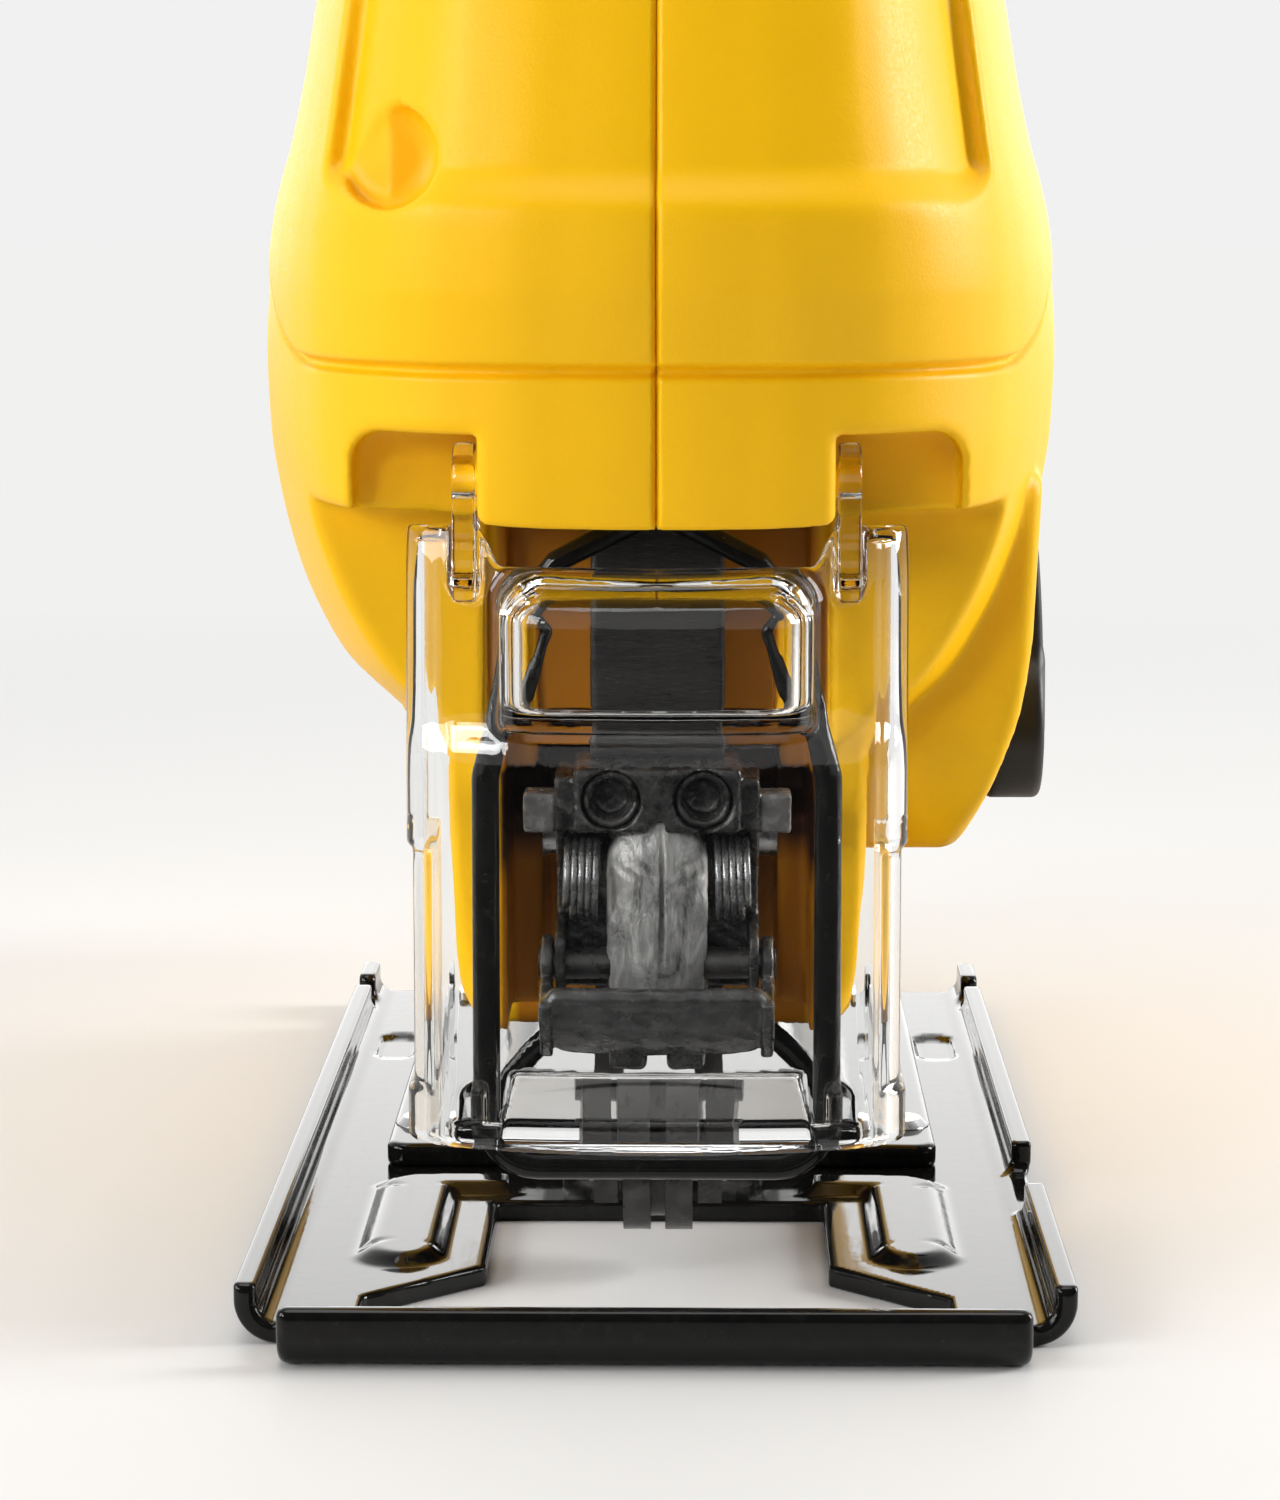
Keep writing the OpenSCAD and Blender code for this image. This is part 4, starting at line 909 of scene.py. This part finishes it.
def span(nt, fac, a, b, lo=0.3, hi=0.7):
    r = nt.nodes.new("ShaderNodeMapRange")
    for key, val in (("From Min", lo), ("From Max", hi), ("To Min", a), ("To Max", b)):
        r.inputs[key].default_value = val
    nt.links.new(fac, r.inputs["Value"])
    return r.outputs["Result"]


def bumps(nt, bsdf, layers, edge=0.0):
    """Stack of (height, strength, distance) bumps over rounded edges."""
    last = None
    if edge:
        e = nt.nodes.new("ShaderNodeBevel")
        e.samples = 4
        e.inputs["Radius"].default_value = edge
        last = e.outputs["Normal"]
    for h, s, d in layers:
        b = nt.nodes.new("ShaderNodeBump")
        b.inputs["Strength"].default_value = s
        b.inputs["Distance"].default_value = d
        nt.links.new(h, b.inputs["Height"])
        if last:
            nt.links.new(last, b.inputs["Normal"])
        last = b.outputs["Normal"]
    if last:
        nt.links.new(last, bsdf.inputs["Normal"])


def plain(name, dark, light, rough, metal=0.0, patch=120, grain=2500, grain_h=0.00003, stretch=None, edge=0.0,
          ior=1.5, coat=0.0, strength=0.5):
    m, nt, b = tree(name)
    nt.links.new(ramp_node(nt, noise(nt, patch, 4, 0.6, stretch), [(0.3, dark), (0.72, light)]),
                 b.inputs["Base Color"])
    nt.links.new(span(nt, noise(nt, patch * 1.7, 3, 0.6, stretch), rough[0], rough[1]), b.inputs["Roughness"])
    b.inputs["Metallic"].default_value = metal
    b.inputs["IOR"].default_value = ior
    if coat:
        b.inputs["Coat Weight"].default_value = coat
        b.inputs["Coat Roughness"].default_value = 0.08
    bumps(nt, b, [(noise(nt, grain, 2, 0.5, stretch), strength, grain_h)], edge)
    return m


def yellow(name):
    m, nt, b = tree(name)
    body = ramp_node(nt, noise(nt, 45, 3, 0.5), [(0.3, (0.87, 0.475, 0.003)), (0.7, (0.91, 0.50, 0.004))])
    # painted shade: deeper orange inside the recess behind the clamp, standing in for the shade and yellow
    # bounce light there, with a painted dark band of shadow across it
    at = place(nt)
    deep = calc(nt, "MULTIPLY", span(nt, at["Y"], 0.0, 1.0, -0.004, 0.003),
                span(nt, at["Y"], 1.0, 0.0, 0.046, 0.047))
    inner = span(nt, calc(nt, "ABSOLUTE", at["X"]), 1.0, 0.0, 0.0145, 0.0153)
    low = span(nt, at["Z"], 1.0, 0.0, 0.0738, 0.0746)
    painted_shade_mask = calc(nt, "MULTIPLY", calc(nt, "MULTIPLY", inner, deep), low)
    band = calc(nt, "SUBTRACT", span(nt, at["Z"], 0.0, 1.0, 0.0375, 0.0405),
                span(nt, at["Z"], 0.0, 1.0, 0.0484, 0.0488))
    # painted shade colours: dim orange for the shaded recess, near black for the shadow band
    painted_shade_tone = ramp_node(nt, band, [(0.0, (0.42, 0.15, 0.002)), (1.0, (0.05, 0.012, 0.002))])
    nt.links.new(blend_colour(nt, painted_shade_mask, body, painted_shade_tone), b.inputs["Base Color"])
    nt.links.new(span(nt, noise(nt, 2600, 2, 0.5), 0.33, 0.47), b.inputs["Roughness"])
    b.inputs["IOR"].default_value = 1.48
    b.inputs["Specular IOR Level"].default_value = 0.2
    bumps(nt, b, [(noise(nt, 3400, 3, 0.6), 0.5, 0.00004), (noise(nt, 160, 2, 0.5), 0.12, 0.0001)])
    return m


def clear(name):
    """Moulded clear plastic that lets lamps through."""
    m, nt, b = tree(name)
    b.inputs["Base Color"].default_value = (0.985, 0.99, 0.985, 1)
    b.inputs["Transmission Weight"].default_value = 1.0
    b.inputs["IOR"].default_value = 1.49
    nt.links.new(span(nt, noise(nt, 900, 3, 0.6), 0.0, 0.03), b.inputs["Roughness"])
    bumps(nt, b, [(noise(nt, 90, 2, 0.5), 0.2, 0.0002), (noise(nt, 700, 2, 0.6), 0.06, 0.00005)])
    ray = nt.nodes.new("ShaderNodeLightPath").outputs
    tr = nt.nodes.new("ShaderNodeBsdfTransparent")
    both = mix_shader(nt, ray["Is Shadow Ray"], b.outputs["BSDF"], tr.outputs["BSDF"])
    nt.links.new(both, nt.nodes["Material Output"].inputs["Surface"])
    return m


def paint(name, edge=0.0):
    """Glossy black paint with fine scratches."""
    m, nt, b = tree(name)
    nt.links.new(ramp_node(nt, noise(nt, 700, 4, 0.7),
                           [(0.35, (0.004, 0.004, 0.004)), (0.8, (0.010, 0.010, 0.009))]),
                 b.inputs["Base Color"])
    scratch = noise(nt, 900, 5, 0.75, (1.0, 0.12, 1.0), 0.6)
    nt.links.new(span(nt, scratch, 0.05, 0.2, 0.45, 0.85), b.inputs["Roughness"])
    b.inputs["IOR"].default_value = 1.34
    bumps(nt, b, [(noise(nt, 420, 2, 0.5), 0.10, 0.00006), (scratch, 0.06, 0.00003)], edge)
    return m


def seat(name):
    """Grey pressed steel smeared with pale grease."""
    m, nt, b = tree(name)
    smear = noise(nt, 1.0, 5, 0.7, (520, 520, 190), 0.8)
    nt.links.new(ramp_node(nt, smear, [(0.34, (0.09, 0.09, 0.088)), (0.5, (0.22, 0.218, 0.212)),
                                       (0.7, (0.42, 0.412, 0.40))]), b.inputs["Base Color"])
    nt.links.new(span(nt, smear, 0.22, 0.42), b.inputs["Roughness"])
    b.inputs["Metallic"].default_value = 0.35
    bumps(nt, b, [(noise(nt, 1.0, 4, 0.7, (900, 900, 300), 0.5), 0.8, 0.0004),
                  (noise(nt, 2600, 2, 0.5), 0.3, 0.00004)])
    return m


def greasy(name):
    """Blackened steel with a wet film, paler on the outer lugs."""
    m, nt, b = tree(name)
    wet = noise(nt, 520, 4, 0.65)
    at = place(nt)
    lug = calc(nt, "MULTIPLY", span(nt, calc(nt, "ABSOLUTE", at["X"]), 0.0, 1.0, 0.0094, 0.0097),
               span(nt, at["Z"], 0.0, 1.0, 0.0440, 0.0444))
    black = ramp_node(nt, wet, [(0.3, (0.006, 0.006, 0.006)), (0.7, (0.035, 0.034, 0.033))])
    pale = ramp_node(nt, wet, [(0.3, (0.06, 0.058, 0.056)), (0.7, (0.15, 0.146, 0.14))])
    nt.links.new(blend_colour(nt, lug, black, pale), b.inputs["Base Color"])
    nt.links.new(span(nt, wet, 0.10, 0.38), b.inputs["Roughness"])
    b.inputs["Metallic"].default_value = 0.15
    bumps(nt, b, [(noise(nt, 420, 4, 0.6, None, 0.6), 0.7, 0.0004), (noise(nt, 1800, 3, 0.6), 0.4, 0.00006)])
    return m


def bar(name):
    """Dark ground steel with cross scratches."""
    m, nt, b = tree(name)
    lines = noise(nt, 1.0, 4, 0.75, (600, 600, 9000), 0.3)
    marks = noise(nt, 1.0, 3, 0.7, (260, 900, 2600), 2.0)
    nt.links.new(ramp_node(nt, lines, [(0.35, (0.012, 0.011, 0.011)), (0.62, (0.030, 0.028, 0.027)),
                                       (0.78, (0.16, 0.15, 0.15))]), b.inputs["Base Color"])
    nt.links.new(span(nt, marks, 0.22, 0.48), b.inputs["Roughness"])
    b.inputs["Metallic"].default_value = 0.55
    bumps(nt, b, [(lines, 0.35, 0.00004), (marks, 0.25, 0.00005)], 0.0002)
    return m


MATS = {
    "yellow_plastic": yellow("yellow_plastic_m"),
    "clear_plastic": clear("clear_plastic_m"),
    "black_paint": paint("black_paint_m"),
    "black_plastic": plain("black_plastic_m", (0.012, 0.012, 0.013), (0.02, 0.02, 0.021), (0.34, 0.5), patch=60,
                           grain=3200, edge=0.0004),
    "rubber": plain("rubber_m", (0.014, 0.014, 0.014), (0.024, 0.024, 0.024), (0.55, 0.75), patch=80,
                    grain=2200, edge=0.0004),
    "black_steel": plain("black_steel_m", (0.022, 0.021, 0.021), (0.075, 0.072, 0.070), (0.2, 0.45), 0.55,
                         patch=260, grain=1500, grain_h=0.00006, edge=0.00015),
    "steel": plain("steel_m", (0.35, 0.35, 0.36), (0.55, 0.55, 0.56), (0.2, 0.4), 0.95, patch=300, grain=2600,
                   edge=0.0002),
    "bronze": plain("bronze_m", (0.30, 0.17, 0.07), (0.46, 0.28, 0.12), (0.25, 0.45), 0.9, patch=240,
                    edge=0.0002),
    "aluminium": plain("aluminium_m", (0.50, 0.51, 0.52), (0.68, 0.69, 0.70), (0.3, 0.5), 0.95, patch=200,
                       edge=0.0003),
    "lamination": plain("lamination_m", (0.12, 0.12, 0.13), (0.3, 0.3, 0.31), (0.3, 0.5), 0.9, patch=1.0,
                        grain=1.0, stretch=(90, 1900, 90)),
    "copper": plain("copper_m", (0.42, 0.13, 0.05), (0.62, 0.23, 0.09), (0.2, 0.4), 0.95, patch=1.0, grain=1.0,
                    grain_h=0.0002, stretch=(1800, 60, 1800)),
    "brass": plain("brass_m", (0.5, 0.32, 0.10), (0.66, 0.44, 0.16), (0.2, 0.4), 0.95, patch=260, edge=0.0002),
    "carbon": plain("carbon_m", (0.01, 0.01, 0.01), (0.03, 0.03, 0.03), (0.5, 0.7), patch=300),
}
MATS["bar"] = bar("ground_bar_m")
MATS["spring"] = plain("spring_m", (0.12, 0.12, 0.12), (0.26, 0.26, 0.26), (0.2, 0.35), 0.8, patch=400,
                       grain=2500)
MATS["wet"] = plain("wet_black_m", (0.02, 0.02, 0.02), (0.06, 0.059, 0.058), (0.12, 0.34), 0.3, patch=500,
                    grain=1300, grain_h=0.00012, strength=0.6)
MATS["seat"] = seat("greased_seat_m")
MATS["greasy"] = greasy("greasy_black_m")


def dress(ob, mat):
    ob.data.materials.clear()
    ob.data.materials.append(mat)


node_slot = {p["node"]: p["material_slot"] for p in frame["record"]["subparts"]}
for name_ in ("roller", "roller_pin", "pendulum_arm", "clamp_pin"):
    node_slot[name_] = "black_steel"
node_slot["guard_pins"] = "yellow_plastic"
for name_, ob_ in nodes.items():
    for slot_ in ob_.material_slots:
        slot_.material = MATS[node_slot[name_]]
LOOKS = {
    "yellow_plastic": [shell_r, shell_l],
    "clear_plastic": [guard_ob],
    "black_paint": [base_ob, bracket_ob, wire_ob],
    "black_plastic": [selector_ob],
    "bar": [plunger_ob],
    "greasy": [clamp_ob, clamp_screw_ob],
    "seat": [holder_ob],
    "wet": [lever_ob],
    "spring": [spring_ob],
}
for look, pieces in LOOKS.items():
    for ob_ in pieces:
        dress(ob_, MATS[look])


# ---------------------------------------------------------------- camera
cam_data = bpy.data.cameras.new("camera")
cam_data.lens = 102.58
cam_data.sensor_width = 36.0
cam_data.clip_start = 0.01
cam_data.clip_end = 20.0
cam = bpy.data.objects.new("camera", cam_data)
cam.location = (0.004, -0.394, 0.1077)
cam.rotation_euler = (math.radians(90.0 - 8.162), 0.0, math.radians(0.823))
bpy.context.scene.collection.objects.link(cam)
bpy.context.scene.camera = cam
bpy.context.scene.view_settings.view_transform = "Standard"


# ---------------------------------------------------------------- floor and light
BACK = 0.88


def floor_piece():
    n, r = 64, 4.0
    rings = [0.0, 0.25, 0.5, 1.0, 2.0, r]
    v = [(0, 0, 0)] + [(a * 1000 * math.cos(2 * math.pi * k / n), a * 1000 * math.sin(2 * math.pi * k / n), 0)
                       for a in rings[1:] for k in range(n)]
    f = [(0, 1 + k, 1 + (k + 1) % n) for k in range(n)]
    for j in range(len(rings) - 2):
        for k in range(n):
            a, b = 1 + j * n + k, 1 + j * n + (k + 1) % n
            f.append((a, a + n, b + n, b))
    ob = add_mesh("floor", v, f, smooth=False)
    m, nt, b = tree("floor_m")
    b.inputs["Base Color"].default_value = (0.61, 0.603, 0.591, 1)
    b.inputs["Roughness"].default_value = 0.6
    b.inputs["Specular IOR Level"].default_value = 0.25
    tc = nt.nodes.new("ShaderNodeTexCoord")
    ln = nt.nodes.new("ShaderNodeVectorMath")
    ln.operation = "LENGTH"
    nt.links.new(tc.outputs["Object"], ln.inputs[0])
    far = span(nt, ln.outputs["Value"], 0.0, 1.0, 0.16, 0.6)
    em = nt.nodes.new("ShaderNodeEmission")
    em.inputs["Color"].default_value = (BACK, BACK, BACK * 0.99, 1)
    sheet = mix_shader(nt, far, b.outputs["BSDF"], em.outputs["Emission"])
    # the dark room in front of the sheet, as shiny parts mirror it
    ray = nt.nodes.new("ShaderNodeLightPath").outputs
    front = calc(nt, "MULTIPLY", span(nt, place(nt)["Y"], 1.0, 0.0, -0.060, -0.034), ray["Is Glossy Ray"])
    dark = nt.nodes.new("ShaderNodeEmission")
    dark.inputs["Color"].default_value = (0.03, 0.03, 0.03, 1)
    nt.links.new(mix_shader(nt, front, sheet, dark.outputs["Emission"]),
                 nt.nodes["Material Output"].inputs["Surface"])
    dress(ob, m)
    return ob


floor_piece()


def world():
    """Bright paper behind and to the sides, a dim room on the camera's side."""
    w = bpy.data.worlds.new("studio")
    bpy.context.scene.world = w
    w.use_nodes = True
    nt = w.node_tree
    out = nt.nodes["World Output"]
    bg = nt.nodes["Background"]
    tc = nt.nodes.new("ShaderNodeTexCoord")
    sp = nt.nodes.new("ShaderNodeSeparateXYZ")
    nt.links.new(tc.outputs["Generated"], sp.inputs[0])
    bg.inputs["Color"].default_value = (1, 0.995, 0.985, 1)
    glow = []
    for spread in ((-0.35, 0.95, 0.05, 1.25), (0.72, 0.97, 0.0, 1.5)):
        r = nt.nodes.new("ShaderNodeMapRange")
        r.interpolation_type = "SMOOTHSTEP"
        for key, val in zip(("From Min", "From Max", "To Min", "To Max"), spread):
            r.inputs[key].default_value = val
        nt.links.new(sp.outputs["Y"], r.inputs["Value"])
        glow.append(r.outputs["Result"])
    nt.links.new(calc(nt, "ADD", *glow), bg.inputs["Strength"])
    seen = nt.nodes.new("ShaderNodeBackground")
    seen.inputs["Color"].default_value = (BACK, BACK, BACK, 1)
    ray = nt.nodes.new("ShaderNodeLightPath").outputs
    straight = calc(nt, "MAXIMUM", ray["Is Camera Ray"], ray["Is Transmission Ray"])
    nt.links.new(mix_shader(nt, straight, bg.outputs["Background"], seen.outputs["Background"]),
                 out.inputs["Surface"])


world()


def area(name, loc, target, size, power, size_y=None):
    ld = bpy.data.lights.new(name, "AREA")
    ld.energy = power
    ld.size = size
    if size_y:
        ld.shape = "RECTANGLE"
        ld.size_y = size_y
    lo = bpy.data.objects.new(name, ld)
    lo.location = loc
    lo.rotation_euler = (mathutils.Vector(target) - mathutils.Vector(loc)).to_track_quat("-Z", "Y").to_euler()
    bpy.context.scene.collection.objects.link(lo)
    return lo


area("key_left", (-0.80, -0.34, 0.40), (0, 0, 0.08), 0.5, 6.0)
area("key_front", (-0.62, -0.82, 0.36), (-0.02, 0, 0.06), 0.26, 2.6, 0.2)
area("top", (-0.05, -0.05, 0.95), (0, 0, 0.05), 0.6, 3.6)
area("rim_right", (0.84, 0.16, 0.36), (0.02, 0, 0.10), 0.3, 9.0, 0.5)
